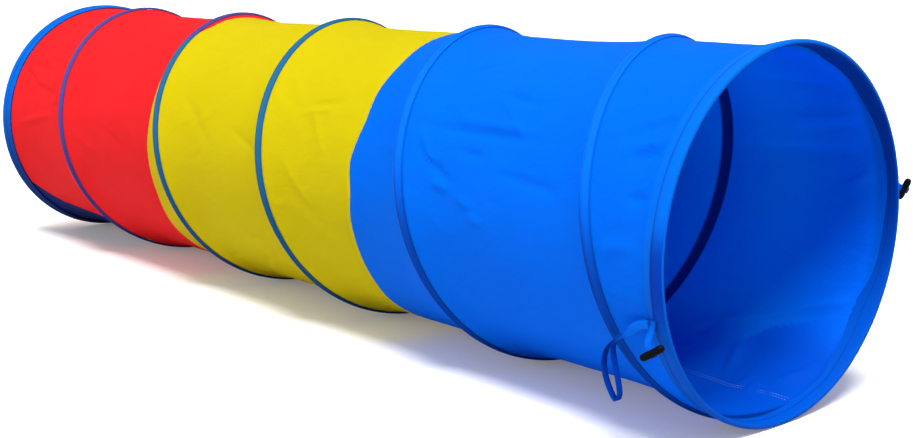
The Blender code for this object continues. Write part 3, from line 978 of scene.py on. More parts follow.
class PathTool(NodeDesk):
    """A Geometry Nodes tree that makes one kind of thing along a path."""

    name = "path_tool"
    sizes: dict[str, float] = {}

    def __init__(self) -> None:
        """Build the tree once, with its named inputs."""
        super().__init__(bpy.data.node_groups.new(self.name, "GeometryNodeTree"))
        self.socket("Geometry", "Geometry")
        for label, value in self.sizes.items():
            self.socket(label, "Float").default_value = value
        self.socket("Seed", "Int")
        self.socket("Finish", "Material")
        self.socket("Geometry", "Geometry", "OUTPUT")
        self.source = self.add("NodeGroupInput").outputs
        curve = self.add("GeometryNodeMeshToCurve", {0: self.source["Geometry"]}).outputs[0]
        real = self.add("GeometryNodeRealizeInstances", {0: self.lay(curve)}).outputs[0]
        smooth = self.add("GeometryNodeSetShadeSmooth", {0: real}).outputs[0]
        coat = {"Geometry": smooth, "Material": self.source["Finish"]}
        painted = self.add("GeometryNodeSetMaterial", coat).outputs[0]
        self.add("NodeGroupOutput", {"Geometry": painted})

    def lay(self, curve: Socket) -> Socket:
        """Make the geometry along the path.

        Args:
            curve: the path.

        Returns:
            The socket that holds the geometry.
        """
        raise NotImplementedError

    def run(
        self, name: str, paths: Sequence[np.ndarray], finish: bpy.types.Material,
        loops: bool = False, **sizes: float
    ) -> bpy.types.Object:
        """Make one plain mesh piece along the given paths.

        Args:
            name: the piece's name.
            paths: rows of places, one array for each path.
            finish: the piece's material.
            loops: whether each path joins its own start.
            **sizes: values for the tree's named sizes, with _ for a space.

        Returns:
            The finished piece.
        """
        points = np.concatenate(paths)
        edges: list[tuple[int, int]] = []
        start = 0
        for path in paths:
            count = len(path)
            edges += [(start + i, start + i + 1) for i in range(count - 1)]
            if loops:
                edges.append((start + count - 1, start))
            start += count
        line = bpy.data.meshes.new(name + "_path")
        line.from_pydata(points.tolist(), edges, [])
        carrier = new_object(name + "_path", line)
        modifier = carrier.modifiers.new(self.name, "NODES")
        modifier.node_group = self.tree
        values = {**spaced(sizes), "Finish": finish, "Seed": 7}
        for item in self.tree.interface.items_tree:
            if item.item_type == "SOCKET" and item.in_out == "INPUT" and item.name in values:
                modifier[item.identifier] = values[item.name]
        mesh = settled_mesh(carrier)
        mesh.name = name
        bpy.data.objects.remove(carrier)
        bpy.data.meshes.remove(line)
        if not mesh.materials:
            mesh.materials.append(finish)
        return new_object(name, mesh)


def settled_mesh(piece: bpy.types.Object) -> bpy.types.Mesh:
    """A plain mesh of a piece as its modifiers leave it."""
    graph = bpy.context.evaluated_depsgraph_get()
    return bpy.data.meshes.new_from_object(piece.evaluated_get(graph), depsgraph=graph)


class WireTool(PathTool):
    """Sweeps a round wire along a path, with capped ends."""

    name = "wire_along_path"
    sizes = {"Wire Radius": 0.0015}

    def lay(self, curve: Socket) -> Socket:
        """Make the wire.

        Args:
            curve: the path.

        Returns:
            The socket that holds the wire.
        """
        size = {"Resolution": 12, "Radius": self.source["Wire Radius"]}
        ring = self.add("GeometryNodeCurvePrimitiveCircle", size).outputs[0]
        sweep = {"Curve": curve, "Profile Curve": ring, "Fill Caps": True}
        return self.add("GeometryNodeCurveToMesh", sweep).outputs[0]


class StitchTool(PathTool):
    """Lays lockstitches along a path, each a short raised bar of thread."""

    name = "stitches_along_path"
    sizes = {"Pitch": 0.003, "Stitch Length": 0.0022, "Thread Radius": 0.00022}

    def lay(self, curve: Socket) -> Socket:
        """Make the row of stitches, each a little longer or shorter than the next.

        Args:
            curve: the path.

        Returns:
            The socket that holds the stitches.
        """
        even = self.add("GeometryNodeResampleCurve", mode="LENGTH")
        self.feed(even.inputs["Curve"], curve)
        self.feed(even.inputs["Length"], self.source["Pitch"])
        bar = self.add("GeometryNodeMeshUVSphere", {"Segments": 5, "Rings": 4, "Radius": 1.0})
        thick = self.source["Thread Radius"]
        half = self.math("MULTIPLY", self.source["Stitch Length"], 0.5)
        size = self.add("ShaderNodeCombineXYZ", {0: thick, 1: thick, 2: half}).outputs[0]
        way = {"Vector": self.add("GeometryNodeInputTangent").outputs[0]}
        turn = self.add("FunctionNodeAlignRotationToVector", way, axis="Z").outputs[0]
        vary = self.add("FunctionNodeRandomValue", data_type="FLOAT")
        self.feed(vary.inputs["Seed"], self.source["Seed"])
        low, high = [s for s in vary.inputs if s.name in ("Min", "Max") and s.enabled][:2]
        low.default_value, high.default_value = 0.92, 1.08
        number = next(s for s in vary.outputs if s.enabled)
        scaled = self.add("ShaderNodeVectorMath", {0: size}, operation="SCALE")
        self.feed(scaled.inputs["Scale"], number)
        row = {
            "Points": even.outputs[0], "Instance": bar.outputs[0], "Rotation": turn,
            "Scale": scaled.outputs[0]}
        return self.add("GeometryNodeInstanceOnPoints", row).outputs[0]


# --------------------------------------------------------------- the pieces


class Body(Enum):
    """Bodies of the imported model, each with the place that it folds towards."""

    FRONT = ("front_end", 0.9)
    MIDDLE = ("middle", 0.0)
    REAR = ("rear_end", -0.9)
    NEAR_TOGGLE = ("near_toggle", None)
    NEAR_LOOP = ("near_loop", None)
    FAR_TOGGLE = ("far_toggle", None)
    FAR_LOOP = ("far_loop", None)

    def carry(
        self, piece: bpy.types.Object, slot: str, note: str, node: str = "", folds: bool = False
    ) -> None:
        """Let a piece move with this body, and say in the log that it was made.

        Args:
            piece: the piece.
            slot: its material slot; not used.
            note: what it is.
            node: the solid that it replaces, if there is one.
            folds: whether it gets its own copy of its mesh.
        """
        name, anchor = self.value
        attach(piece, name)
        if folds:
            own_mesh(piece)
        if node:
            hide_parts(node)
        LOG.info("%s on %s: %s, %d faces", piece.name, name, note, len(piece.data.polygons))


class SkinGrid:
    """Lines of the whole skin, laid along the wire from turn to turn."""

    tiny = 0.02 * MM

    def __init__(
        self, around: int = 320, middle_steps: int = 62, edge_steps: int = 6,
        edge_step: float = 4 * MM
    ) -> None:
        """Lay the lines.

        Args:
            around: how many lines there are round the tunnel.
            middle_steps: how many cells there are in the middle of a bay.
            edge_steps: how many lines lie closer together beside each rib.
            edge_step: how far apart these are.
        """
        self.around = around
        bay = FORM.coil_pitch - 2 * FORM.rib_half_width
        edge = np.arange(0, edge_steps) * edge_step
        reach = edge_steps * edge_step
        middle = np.linspace(reach, bay - reach, middle_steps + 1)
        shares = np.concatenate((edge, middle, bay - edge[::-1])) / bay
        turns = np.arange(-around - 2, int((FORM.coil_turns + 1) * around) + 3) / around
        front = FORM.coil_x(turns) - FORM.rib_half_width
        rear = FORM.coil_x(turns + 1) + FORM.rib_half_width
        bays = front[:, None] + (rear - front)[:, None] * shares[None, :]
        self.x = np.concatenate((bays, FORM.coil_x(turns + 1)[:, None]), axis=1)
        self.lines = self.x.shape[1]
        self.slots = np.arange(len(turns)) % around
        self.slot_angles = FORM.angle(turns[:around])

    def cut(self, front: SeamLine, rear: SeamLine) -> tuple[
        np.ndarray, np.ndarray, list[tuple[int, ...]], np.ndarray
    ]:
        """Cut the piece of skin between two lines.

        Args:
            front: the line nearer the front.
            rear: the line nearer the rear.

        Returns:
            Each point's place along X and its angle, the faces, and the points of
            the two rims, one row for each rim.
        """
        count, lines = self.x.shape
        first = np.arange(count - 1)[:, None] * lines + np.arange(lines)[None, :]
        after = first + 1
        after[:, -1] = (np.arange(count - 1) + self.around) * lines
        quads = np.stack((first, first + lines, after + lines, after), axis=-1)
        quads = quads[: count - 1 - self.around].reshape(-1, 4)
        x = self.x.ravel()
        slot = np.repeat(self.slots, lines)
        x_front, x_rear = front.at(self.slot_angles), rear.at(self.slot_angles)
        past_front = x >= x_front[slot] - self.tiny
        past_rear = x <= x_rear[slot] + self.tiny
        quads = quads[~(past_front | past_rear)[quads].all(axis=1)]
        keys = np.arange(x.size) + 2 * self.around
        keys = np.where(past_front, slot, keys)
        keys = np.where(past_rear, slot + self.around, keys)
        used = keys[quads]
        unique, back = np.unique(used, return_inverse=True)
        faces = back.reshape(-1, 4)
        places = np.zeros(len(unique))
        angles = np.zeros(len(unique))
        free = unique >= 2 * self.around
        places[free] = x[unique[free] - 2 * self.around]
        angles[free] = self.slot_angles[slot[unique[free] - 2 * self.around]]
        rims = unique[~free]
        places[~free] = np.concatenate((x_front, x_rear))[rims]
        angles[~free] = self.slot_angles[rims % self.around]
        rows = []
        for face in faces.tolist():
            corners = [c for c, d in zip(face, face[1:] + face[:1]) if c != d]
            if len(corners) > 2:
                rows.append(tuple(corners))
        order = np.full(2 * self.around, -1)
        order[rims] = np.nonzero(~free)[0]
        return places, angles, rows, order.reshape(2, self.around)


@dataclass
class FabricPanel:
    """One panel of the tunnel: a tube of thin cloth between two sewn lines.

    Colours in deep_inside and mouth_floor are those of the light that comes through
    the cloth: all round deep in the tunnel, and on the floor just inside the mouth.
    Their spans say between which places, or how many degrees off the floor, they fade.
    """

    name: str
    node: str
    body: Body
    slot: str
    front: SeamLine
    rear: SeamLine
    finish: ClothFinish
    folds: Sequence[Fold] = ()
    # band: painted shadow that the tape casts on the cloth's inner face
    band: Colour = (0.0, 0.02, 0.24)
    deep_inside: Colour | None = None
    mouth_floor: Colour | None = None
    thickness: float = 0.4 * MM
    crumple: float = 0.9 * MM
    pucker: float = 0.16 * MM
    pucker_pitch: float = 13 * MM
    seam_depth: float = 0.6 * MM
    under_hem: float = 0.1 * MM
    long_seam_width: float = 5 * MM
    long_seam_height: float = 0.7 * MM
    hold_reach: float = 12 * MM
    crumple_size: float = 90 * MM
    seam_reach: float = 7 * MM
    groove_width: float = 2.4 * MM
    pucker_reach: tuple[float, float] = (12 * MM, 20 * MM)
    hem_pucker: float = 1.6
    rib_clear: float = 4 * MM
    hem_clear: float = 6 * MM
    highest: float = 2.0 * MM
    deep_span: tuple[float, float] = (0.70, 0.86)
    deep_sides: tuple[float, float, float] = (-5, 20, 45)
    floor_span: tuple[float, float] = (0.72, 0.79)
    floor_sides: tuple[float, float, float] = (-3, 30, 50)

    def relief(self, x: np.ndarray, angle: np.ndarray) -> np.ndarray:
        """How far the slack cloth stands off its taut form.

        Args:
            x: places along the tunnel.
            angle: their angles.

        Returns:
            The lift at each place, outwards.
        """
        places = FORM.place(x, np.full_like(x, FORM.rib_radius), angle)
        ribs = FORM.rib_places(angle)
        to_rib = np.abs(ribs - x[:, None]).min(axis=1) - FORM.rib_half_width
        to_hem = np.minimum(FORM.front_hem_line - x, x - FORM.rear_hem_line)
        to_seam = np.minimum(np.abs(x - self.front.at(angle)), np.abs(x - self.rear.at(angle)))
        held = np.clip(np.minimum(to_rib, to_hem), 0, None)
        free = 1 - np.exp(-((held / self.hold_reach) ** 2))
        cloud = rough(places, self.crumple_size, 3, 3.1)
        loose = free * (1 - np.exp(-((to_seam / self.seam_reach) ** 2)))
        lift = self.crumple * cloud * loose
        for fold in self.folds:
            lift += fold.lift(x, angle) * loose
        run = angle * FORM.rib_radius
        wave = np.sin(math.tau * run / self.pucker_pitch + 5 * cloud)
        by_rib, by_hem = self.pucker_reach
        beside = np.exp(-((to_rib / by_rib) ** 2)) * np.clip(to_rib / self.rib_clear, 0, 1)
        edge = self.hem_pucker * np.exp(-((to_hem / by_hem) ** 2)) * (to_hem > 0)
        lift += self.pucker * wave * (beside + edge)
        groove = np.exp(-((to_seam / self.groove_width) ** 2)) * (to_hem > self.hem_clear)
        lift -= self.seam_depth * groove * (1 + 0.4 * wave)
        off = half_turn(angle - FORM.long_seam_angle(x))
        across = off * FORM.rib_radius / self.long_seam_width
        lift -= self.long_seam_height * np.exp(-(across**4)) * free
        return np.where(to_hem < 0, self.under_hem, lift)

    def tint(self, x: np.ndarray, angle: np.ndarray, rib: np.ndarray) -> np.ndarray:
        """The inner face's colour: painted light through the cloth, and the tape's painted
        shadow.

        Args:
            x: places along the tunnel.
            angle: their angles.
            rib: which of them lie under the tape.

        Returns:
            Red, green, blue and share, one row for each point of both faces.
        """
        inner = np.zeros((len(x), 4))
        inner[:, :3] = self.finish.colour
        turn = np.degrees(half_turn(angle))
        if self.deep_inside:
            middle, *sides = self.deep_sides
            inner[:, :3] = self.deep_inside
            share = 1 - ease(x, *self.deep_span)
            inner[:, 3] = share * ease(np.abs(turn - middle), *sides)
        if self.mouth_floor:
            middle, *sides = self.floor_sides
            low = ease(x, *self.floor_span) * (1 - ease(np.abs(turn - middle), *sides))
            inner[low > inner[:, 3], :3] = self.mouth_floor
            inner[:, 3] = np.maximum(inner[:, 3], low)
        # painted shadow of the tape on the inner face under each rib
        inner[rib] = (*self.band, 1.0)
        outer = np.zeros_like(inner)
        outer[:, :3] = inner[:, :3]
        return np.concatenate((outer, inner))

    def build(self, grid: SkinGrid) -> bpy.types.Object:
        """Make the panel.

        Args:
            grid: the skin's lines.

        Returns:
            The finished panel.
        """
        x, angle, faces, rims = grid.cut(self.front, self.rear)
        to_rib = np.abs(FORM.rib_places(angle) - x[:, None])
        near_rib = (to_rib < FORM.rib_half_width + 1 * MM).any(axis=1)
        radius = FORM.soft_skin(x, angle) + self.relief(x, angle)
        radius = np.minimum(radius, FORM.rib_radius + np.where(near_rib, 0.0, self.highest))
        outer = FORM.place(x, radius, angle)
        inner = FORM.place(x, radius - self.thickness, angle)
        count = len(x)
        shell = [tuple(face) for face in faces]
        shell += [tuple(i + count for i in reversed(face)) for face in faces]
        for rim, way in ((rims[0], 1), (rims[1], -1)):
            for a, b in zip(rim.tolist(), np.roll(rim, -1).tolist()):
                shell.append((a, a + count, b + count, b)[::way])
        flat = lay_out(angle * FORM.rib_radius, x)
        draft = MeshDraft(np.concatenate((outer, inner)), shell)
        draft.lay_flat(np.concatenate((flat, flat)), wrap=math.tau * FORM.rib_radius)
        piece = draft.build(self.name)
        write_tint(piece, self.tint(x, angle, near_rib))
        piece.data.materials.append(self.finish.build())
        self.body.carry(piece, self.slot, "cloth panel", self.node, folds=True)
        return piece


@dataclass
class HemLap:
    """The wider lap of the rear hem, sewn outside where the tunnel rests, in a painted shade.
    """

    finish: ClothFinish
    name: str = "rear_hem_lap"
    rear_x: float = -0.8790
    front_x: float = -0.612
    low_angle: float = 8.0
    high_edge: Knots = (
        (-0.880, 60.0), (-0.850, 52.0), (-0.829, 46.5), (-0.795, 43.0), (-0.754, 41.2),
        (-0.714, 39.6), (-0.660, 38.0), (-0.610, 36.6))
    lift: float = 0.1 * MM
    thickness: float = 0.3 * MM
    rows: int = 60
    columns: int = 48

    def build(self, under: FabricPanel) -> bpy.types.Object:
        """Make the lap.

        Args:
            under: the panel that it is sewn to.

        Returns:
            The finished lap.
        """
        line = np.linspace(self.rear_x, self.front_x, self.rows)
        high = np.interp(line, *np.array(self.high_edge).T)
        share = np.linspace(0, 1, self.columns)
        degrees = self.low_angle + (high[:, None] - self.low_angle) * share
        x = np.broadcast_to(line[:, None], degrees.shape).ravel()
        angle = np.radians(degrees).ravel()
        radius = FORM.soft_skin(x, angle) + under.relief(x, angle) + self.lift
        low = FORM.place(x, radius, angle)
        top = FORM.place(x, radius + self.thickness, angle)
        flat = lay_out(angle * FORM.rib_radius, x)
        piece = grid_shell(low, top, flat, self.columns).build(self.name)
        piece.data.materials.append(self.finish.build())
        Body.REAR.carry(piece, "tape_fabric", "hem lap", folds=True)
        return piece


@dataclass
class HemBand:
    """A folded hem that closes one end of the tunnel over its hoop.

    Each row of a profile tells whether it counts from the band's edge (1) or from its
    stitch line (0), and how far back and how much lower it lies, in millimetres.
    """

    name: str
    node: str
    body: Body
    slot: str
    rim_x: float
    side: int
    width: float
    stitch_line: float
    finish: ClothFinish
    thread: ThreadFinish
    sets_at: Sequence[float] = ()
    inner_widths: Knots = ()
    outer_tint: Colour = (0.0, 0.138, 0.72)
    # painted shade on the inside face of the folded hem
    inner_shade_tint: Colour = (0.0, 0.035, 0.30)
    # painted shade where the hem rests low near the floor, fading out higher up
    low_shade_tint: Colour = (0.0, 0.080, 0.50)
    lit_from: float = 1.8
    thickness: float = 0.5 * MM
    around: int = 360
    fold_radius: float = 3.4 * MM
    fold_back: float = 9 * MM
    set_back: float = 21 * MM
    set_reach: float = 11.5 * MM
    wrinkle: float = 0.4 * MM
    # painted shade where the hem is drawn in above each strap set
    drawn_shade_tint: Colour = (0.0, 0.028, 0.38)
    drawn_above: float = math.radians(12)
    drawn_reach: float = math.radians(13.5)
    # painted shade along the sewn groove of the stitch line
    stitch_line_shade: Colour = (0.0, 0.020, 0.26)
    line_width: float = 1.6 * MM
    outer_profile: Sequence[tuple[int, float, float]] = (
        (1, 0.8, 4.9), (1, -0.6, 4.8), (1, -2.5, 4.4), (1, -5.0, 3.7), (0, 3.0, 2.75),
        (0, 1.2, 2.35), (0, 0.0, 2.75), (0, -1.2, 1.95), (0, -3.5, 1.35), (0, -6.0, 0.75),
        (0, -9.0, 0.2))
    inner_profile: Sequence[tuple[int, float, float]] = (
        (0, -9.0, 0.1), (0, -5.0, 0.1), (0, -1.2, 0.05), (0, 0.0, 0.0), (0, 1.2, 0.05),
        (0, 4.0, 0.15), (1, -3.5, 0.3), (1, -1.0, 0.6), (1, 0.5, 0.7))
    fold_steps: int = 12
    rest_turn: float = 0.9
    cloud_size: float = 40 * MM
    pucker_pitch: float = 9 * MM
    pucker_reach: float = 6 * MM
    smooth_rim: float = 7 * MM
    rim_reach: float = 6 * MM
    stitch_lift: float = 0.15 * MM

    def outline(self) -> np.ndarray:
        """The hem's face in section, from its outer edge round the rim and back in.

        Returns:
            Points, each a setback from the rim and a radius.
        """
        starts = (self.stitch_line, self.width)
        bend = math.pi * np.arange(self.fold_steps + 1) / self.fold_steps
        fold = np.stack((1 - np.sin(bend), np.cos(bend)), axis=1) * self.fold_radius
        parts = []
        for profile, face in (
            (self.outer_profile, FORM.outer_radius),
            (self.inner_profile, FORM.coil_radius - self.fold_radius)
        ):
            rows = [(starts[at] + back * MM, face - low * MM) for at, back, low in profile]
            parts.append(rows)
        return np.concatenate((parts[0], fold + (0, FORM.coil_radius), parts[1]))

    def setbacks(self, rows: np.ndarray, angle: np.ndarray) -> np.ndarray:
        """How far behind the rim each point of the section lies at every angle.

        Args:
            rows: the section's points.
            angle: the angles round the hem.

        Returns:
            Setbacks, one row for each angle.
        """
        back = np.repeat(rows[None, :, 0], len(angle), axis=0)
        if self.inner_widths:
            wide = round_knots(self.inner_widths, angle, (-4, -2, 0, 2, 4))
            beyond = np.arange(len(rows)) > int(np.argmin(rows[:, 0]))
            beyond &= rows[:, 0] > self.fold_back
            share = (rows[beyond, 0] - self.fold_back) / (self.width - self.fold_back)
            reach = wide[:, None] * MM - self.fold_back
            back[:, beyond] = self.fold_back + share * reach
        return back

    def tint(self, rows: np.ndarray, angle: np.ndarray) -> np.ndarray:
        """The hem's colour, with painted shade inside, where it rests and where it is drawn in.

        Args:
            rows: the section's points.
            angle: the angles round the hem.

        Returns:
            Red, green, blue and share, one row for each point.
        """
        along = np.arange(len(rows)) / len(rows)
        # share of painted shade, full low down and fading out higher up
        low = 1 - ease(np.abs(half_turn(angle)), self.rest_turn, self.lit_from)
        low = low[:, None, None]
        outer, inner, under, drawn_shade, line_shade = (
            np.array(colour) for colour in (
                self.outer_tint, self.inner_shade_tint, self.low_shade_tint, self.drawn_shade_tint, self.stitch_line_shade
            ))
        colours = np.ones((len(angle), len(rows), 4))
        # painted shade: the inside face darker than the outside, and darker again low down
        # where the hem rests
        base = np.where((along > 0.55)[None, :, None], inner, outer) * (1 - low) + under * low
        # where the painted shade of the drawn-in cloth lies, round each strap set
        drawn = np.zeros(len(angle))
        for place in self.sets_at:
            above = place + math.copysign(self.drawn_above, math.pi - place)
            drawn += np.exp(-(((angle - above) / self.drawn_reach) ** 4))
        drawn = drawn[:, None]
        outside = along < 0.45
        front = outside & (rows[:, 0] < self.stitch_line)
        # painted shade along the stitch line, stronger where the hem is drawn in
        line = np.exp(-(((rows[:, 0] - self.stitch_line) / self.line_width) ** 2)) * outside
        for share, colour in (
            (drawn * (0.92 * front), drawn_shade), (line * (0.25 + 0.65 * drawn), line_shade)
        ):
            share = share[..., None]
            base = base * (1 - share) + colour * share
        colours[..., :3] = base
        return np.concatenate((colours, colours[:, ::-1]), axis=1).reshape(-1, 4)

    def lifted(self, rows: np.ndarray, back: np.ndarray, angle: np.ndarray) -> np.ndarray:
        """The section's radii at every angle, with wrinkles and the sewn sets.

        Args:
            rows: the section's points.
            back: their setbacks at every angle.
            angle: the angles round the hem.

        Returns:
            Radii, one row for each angle.
        """
        radius, turn = rows[None, :, 1], angle[:, None]
        places = FORM.place(self.rim_x - self.side * back, radius, turn)
        cloud = rough(places.reshape(-1, 3), self.cloud_size, 2, 5.3).reshape(back.shape)
        run = turn * FORM.outer_radius
        wave = np.sin(math.tau * run / self.pucker_pitch + 4 * cloud)
        near_line = np.exp(-(((back - self.stitch_line) / self.pucker_reach) ** 2))
        past_rim = np.clip((back - self.smooth_rim) / self.rim_reach, 0, 1)
        outside = radius > FORM.coil_radius
        sign = np.where(outside, 1.0, -1.0)
        lift = sign * self.wrinkle * past_rim * (0.6 * cloud + 0.35 * wave * near_line)
        for place in self.sets_at:
            off = half_turn(turn - place)
            aside = np.abs(off) * FORM.outer_radius / self.set_reach
            along = np.abs(back - self.set_back) / self.set_reach
            pad = np.exp(-(aside**4) - along**4)
            want = FORM.outer_radius - radius
            lift = np.where(outside, lift * (1 - pad) + want * pad, lift)
        return radius + lift

    def build(self) -> list[bpy.types.Object]:
        """Make the hem and its two rows of stitches.

        Returns:
            The hem and its stitches.
        """
        rows = self.outline()
        angle = np.arange(self.around) / self.around * math.tau
        back = self.setbacks(rows, angle)
        radius = self.lifted(rows, back, angle)
        face = np.stack((back, radius), axis=-1)
        ways = np.gradient(rows, axis=0)
        normal = unit(np.stack((ways[:, 1], -ways[:, 0]), axis=1))
        wall = face - normal[None] * self.thickness
        if (wall[0, len(rows) // 2] - face[0, len(rows) // 2])[0] < 0:
            wall = face + normal[None] * self.thickness
        section = np.concatenate((face, wall[:, ::-1]), axis=1)
        x = self.rim_x - self.side * section[..., 0]
        points = FORM.place(x, section[..., 1], angle[:, None])
        across = run_along(rows)
        both_faces = np.concatenate((across, across[::-1]))
        flat = lay_out(angle[:, None] * FORM.outer_radius, both_faces[None, :])
        draft = MeshDraft(points, swept_faces(self.around, section.shape[1], closed=True))
        piece = draft.lay_flat(flat, wrap=math.tau * FORM.outer_radius).build(self.name)
        write_tint(piece, self.tint(rows, angle))
        piece.data.materials.append(self.finish.build())
        self.body.carry(piece, self.slot, "folded hem", self.node)
        stitches = self.stitch(rows, angle, back, radius)
        return [piece, stitches]

    def stitch(
        self, rows: np.ndarray, angle: np.ndarray, back: np.ndarray, radius: np.ndarray
    ) -> bpy.types.Object:
        """Sew the hem down, outside and inside.

        Args:
            rows: the section's points.
            angle: the angles round the hem.
            back: the setbacks at every angle.
            radius: the radii at every angle.

        Returns:
            The stitches as one piece.
        """
        half = len(rows) // 2
        off_line = np.abs(rows[:, 0] - self.stitch_line)
        x = self.rim_x - self.side * back
        paths = []
        for row, lift in (
            (int(np.argmin(off_line)), self.stitch_lift),
            (half + int(np.argmin(off_line[half:])), -self.stitch_lift)
        ):
            paths.append(FORM.place(x[:, row], radius[:, row] + lift, angle))
        piece = STITCHES.run(
            self.name + "_stitches", paths, self.thread.build(), loops=True, Pitch=3.2 * MM,
            Stitch_Length=2.7 * MM, Thread_Radius=0.40 * MM)
        self.body.carry(piece, self.slot, "hem stitches")
        return piece


@dataclass
class BindingTape:
    """The tape sewn outside over the wire, turn after turn.

    The tape is painted darkest where it rests, a painted shade near the floor: the shares of
    its full colour add up as the angle off the floor passes each of its spans.
    """

    finish: ClothFinish
    thread: ThreadFinish
    name: str = "coil_binding_tape"
    width: float = 17.5 * MM
    thickness: float = 0.7 * MM
    per_turn: int = 300
    hump_width: float = 2.9 * MM
    tints: Sequence[Colour] = ((0.0, 0.135, 0.80), (0.016, 0.120, 0.24), (0.075, 0.052, 0.24))
    shaded: Colour = (0.0, 0.050, 0.44)
    # painted shade added where the tape rests on the floor
    contact_shade: Colour = (0.0, 0.004, 0.10)
    ripple: float = 0.22 * MM
    shares: Sequence[float] = (-0.5, -0.465, -0.38, -0.29, -0.215, -0.155, -0.105, -0.06, 0.0)
    lit_shares: tuple[float, float, float] = (0.22, 0.36, 0.42)
    lit_spans: Knots = ((15, 60), (72, 112))
    shaded_span: tuple[float, float] = (76, 112)
    shaded_share: float = 0.8
    stitch_aside: float = 7.6 * MM
    stitch_clear: float = 2 * MM
    hem_clear: float = 0.5 * MM
    cloud_size: float = 22 * MM
    pucker_pitch: float = 7 * MM
    least_lift: float = -0.1 * MM
    hump_take: float = 1 * MM

    def section(self) -> np.ndarray:
        """The tape's outer face: flat edges and a smooth hump over the wire.

        Returns:
            Points, each a place across and a height above the skin.
        """
        across = np.array(self.shares) * self.width
        across = np.concatenate((across, -across[-2::-1]))
        top = FORM.coil_radius + FORM.wire_radius + 0.3 * MM + self.thickness
        low = FORM.rib_radius + 0.25 * MM + self.thickness
        hump = np.exp(-((np.abs(across) / self.hump_width) ** 3))
        return np.stack((across, low + (top - low) * hump), axis=1)

    def tint(self, x: np.ndarray, angle: np.ndarray) -> np.ndarray:
        """The tape's colour with what shows through it, and painted shade where it rests.

        Args:
            x: places along the tunnel.
            angle: their angles.

        Returns:
            Red, green, blue and share, one row for each place.
        """
        which = (x < BLUE_SEAM.at(angle)).astype(int) + (x < RED_SEAM.at(angle))
        turn = np.abs(half_turn(angle))
        least, *shares = self.lit_shares
        lit_share = least
        for share, span in zip(shares, np.radians(self.lit_spans)):
            lit_share = lit_share + share * ease(turn, *span)
        # painted shade on the tape's lower side over the blue panel
        side = (which == 0) * (1 - ease(turn, *np.radians(self.shaded_span)))
        side = self.shaded_share * side[:, None]
        colours = np.array(self.tints)[which] * (1 - side) + np.array(self.shaded) * side
        # painted shade: darker towards the floor, with the contact shade colour added where it
        # rests
        colours = colours * np.maximum(lit_share, least + 0.62 * (which == 0) * lit_share)[:, None]
        colours += np.array(self.contact_shade) * (1 - lit_share[:, None])
        return np.concatenate((colours, np.ones((len(x), 1))), axis=1)

    def build(self) -> list[bpy.types.Object]:
        """Make the tape and the stitches along both its edges.

        Returns:
            The tape and its stitches.
        """
        turns = np.arange(int(FORM.coil_turns * self.per_turn) + 1) / self.per_turn
        section = self.section()
        lead = FORM.coil_x(turns)[:, None] + section[None, :, 0]
        angle = np.broadcast_to(FORM.angle(turns)[:, None], lead.shape)
        places = FORM.place(lead, FORM.outer_radius, angle)
        cloud = rough(places.reshape(-1, 3), self.cloud_size, 2, 8.2).reshape(lead.shape)
        edge = np.clip(np.abs(section[:, 0]) / (self.width / 2), 0, 1) ** 2
        run = FORM.angle(turns)[:, None] * FORM.outer_radius
        wave = np.sin(math.tau * run / self.pucker_pitch + 3 * cloud)
        lift = self.ripple * (0.5 * cloud * (1 - edge) + 0.5 * wave * edge)
        top = section[None, :, 1] + np.maximum(lift, self.least_lift)
        low = FORM.front_hem_line - self.hem_clear
        high = FORM.rear_hem_line + self.hem_clear
        held = np.clip(lead, high, low)
        kept = (lead < low).any(axis=1) & (lead > high).any(axis=1)
        outer = FORM.place(held, top, angle)
        inner = FORM.place(held, top - self.thickness, angle)
        pairs = ((outer, inner), (held, held), (angle, angle))
        rings, x_of, angle_of = (
            np.concatenate((face, back[:, ::-1]), axis=1)[kept] for face, back in pairs)
        length = math.tau * FORM.outer_radius / self.per_turn
        across = np.concatenate((section[:, 0], section[::-1, 0]))
        flat = lay_out(across[None, :], (np.arange(len(rings)) * length)[:, None])
        faces = swept_faces(len(rings), rings.shape[1], closed=False)
        piece = MeshDraft(rings, faces).lay_flat(flat).build(self.name)
        write_tint(piece, self.tint(x_of.ravel(), angle_of.ravel()))
        piece.data.materials.append(self.finish.build())
        Body.MIDDLE.carry(piece, "tape_fabric", "binding tape", "coil_tape", folds=True)
        stitches = self.stitch(turns)
        return [piece, stitches]

    def stitch(self, turns: np.ndarray) -> bpy.types.Object:
        """Sew the tape down along both its edges.

        Args:
            turns: the turns that the tape runs over.

        Returns:
            The stitches as one piece.
        """
        paths = []
        radius = FORM.rib_radius + 0.3 * MM + self.thickness
        front = FORM.front_hem_line - self.stitch_clear
        rear = FORM.rear_hem_line + self.stitch_clear
        for aside in (-self.stitch_aside, self.stitch_aside):
            x = FORM.coil_x(turns) + aside
            inside = (x < front) & (x > rear)
            paths.append(FORM.place(x, radius, FORM.angle(turns))[inside])
        piece = STITCHES.run(
            "tape_stitches", paths, self.thread.build(), Pitch=3.4 * MM, Stitch_Length=2.8 * MM,
            Thread_Radius=0.38 * MM)
        Body.MIDDLE.carry(piece, "tape_fabric", "tape stitches", folds=True)
        return piece


@dataclass
class SeamStitches:
    """A row of stitches sewn along a line of one panel."""

    name: str
    body: Body
    slot: str
    thread: ThreadFinish
    places: Sequence[tuple[np.ndarray, np.ndarray, float]] = ()
    pitch: float = 3.5 * MM
    length: float = 2.6 * MM
    radius: float = 0.25 * MM
    loops: bool = False

    def build(self) -> bpy.types.Object:
        """Sew the rows.

        Returns:
            The stitches as one piece.
        """
        paths = [
            FORM.place(x, FORM.soft_skin(x, angle) - inwards, angle) for x, angle,
            inwards in self.places]
        piece = STITCHES.run(
            self.name, paths, self.thread.build(), loops=self.loops, Pitch=self.pitch,
            Stitch_Length=self.length, Thread_Radius=self.radius)
        self.body.carry(piece, self.slot, "seam stitches", folds=True)
        return piece


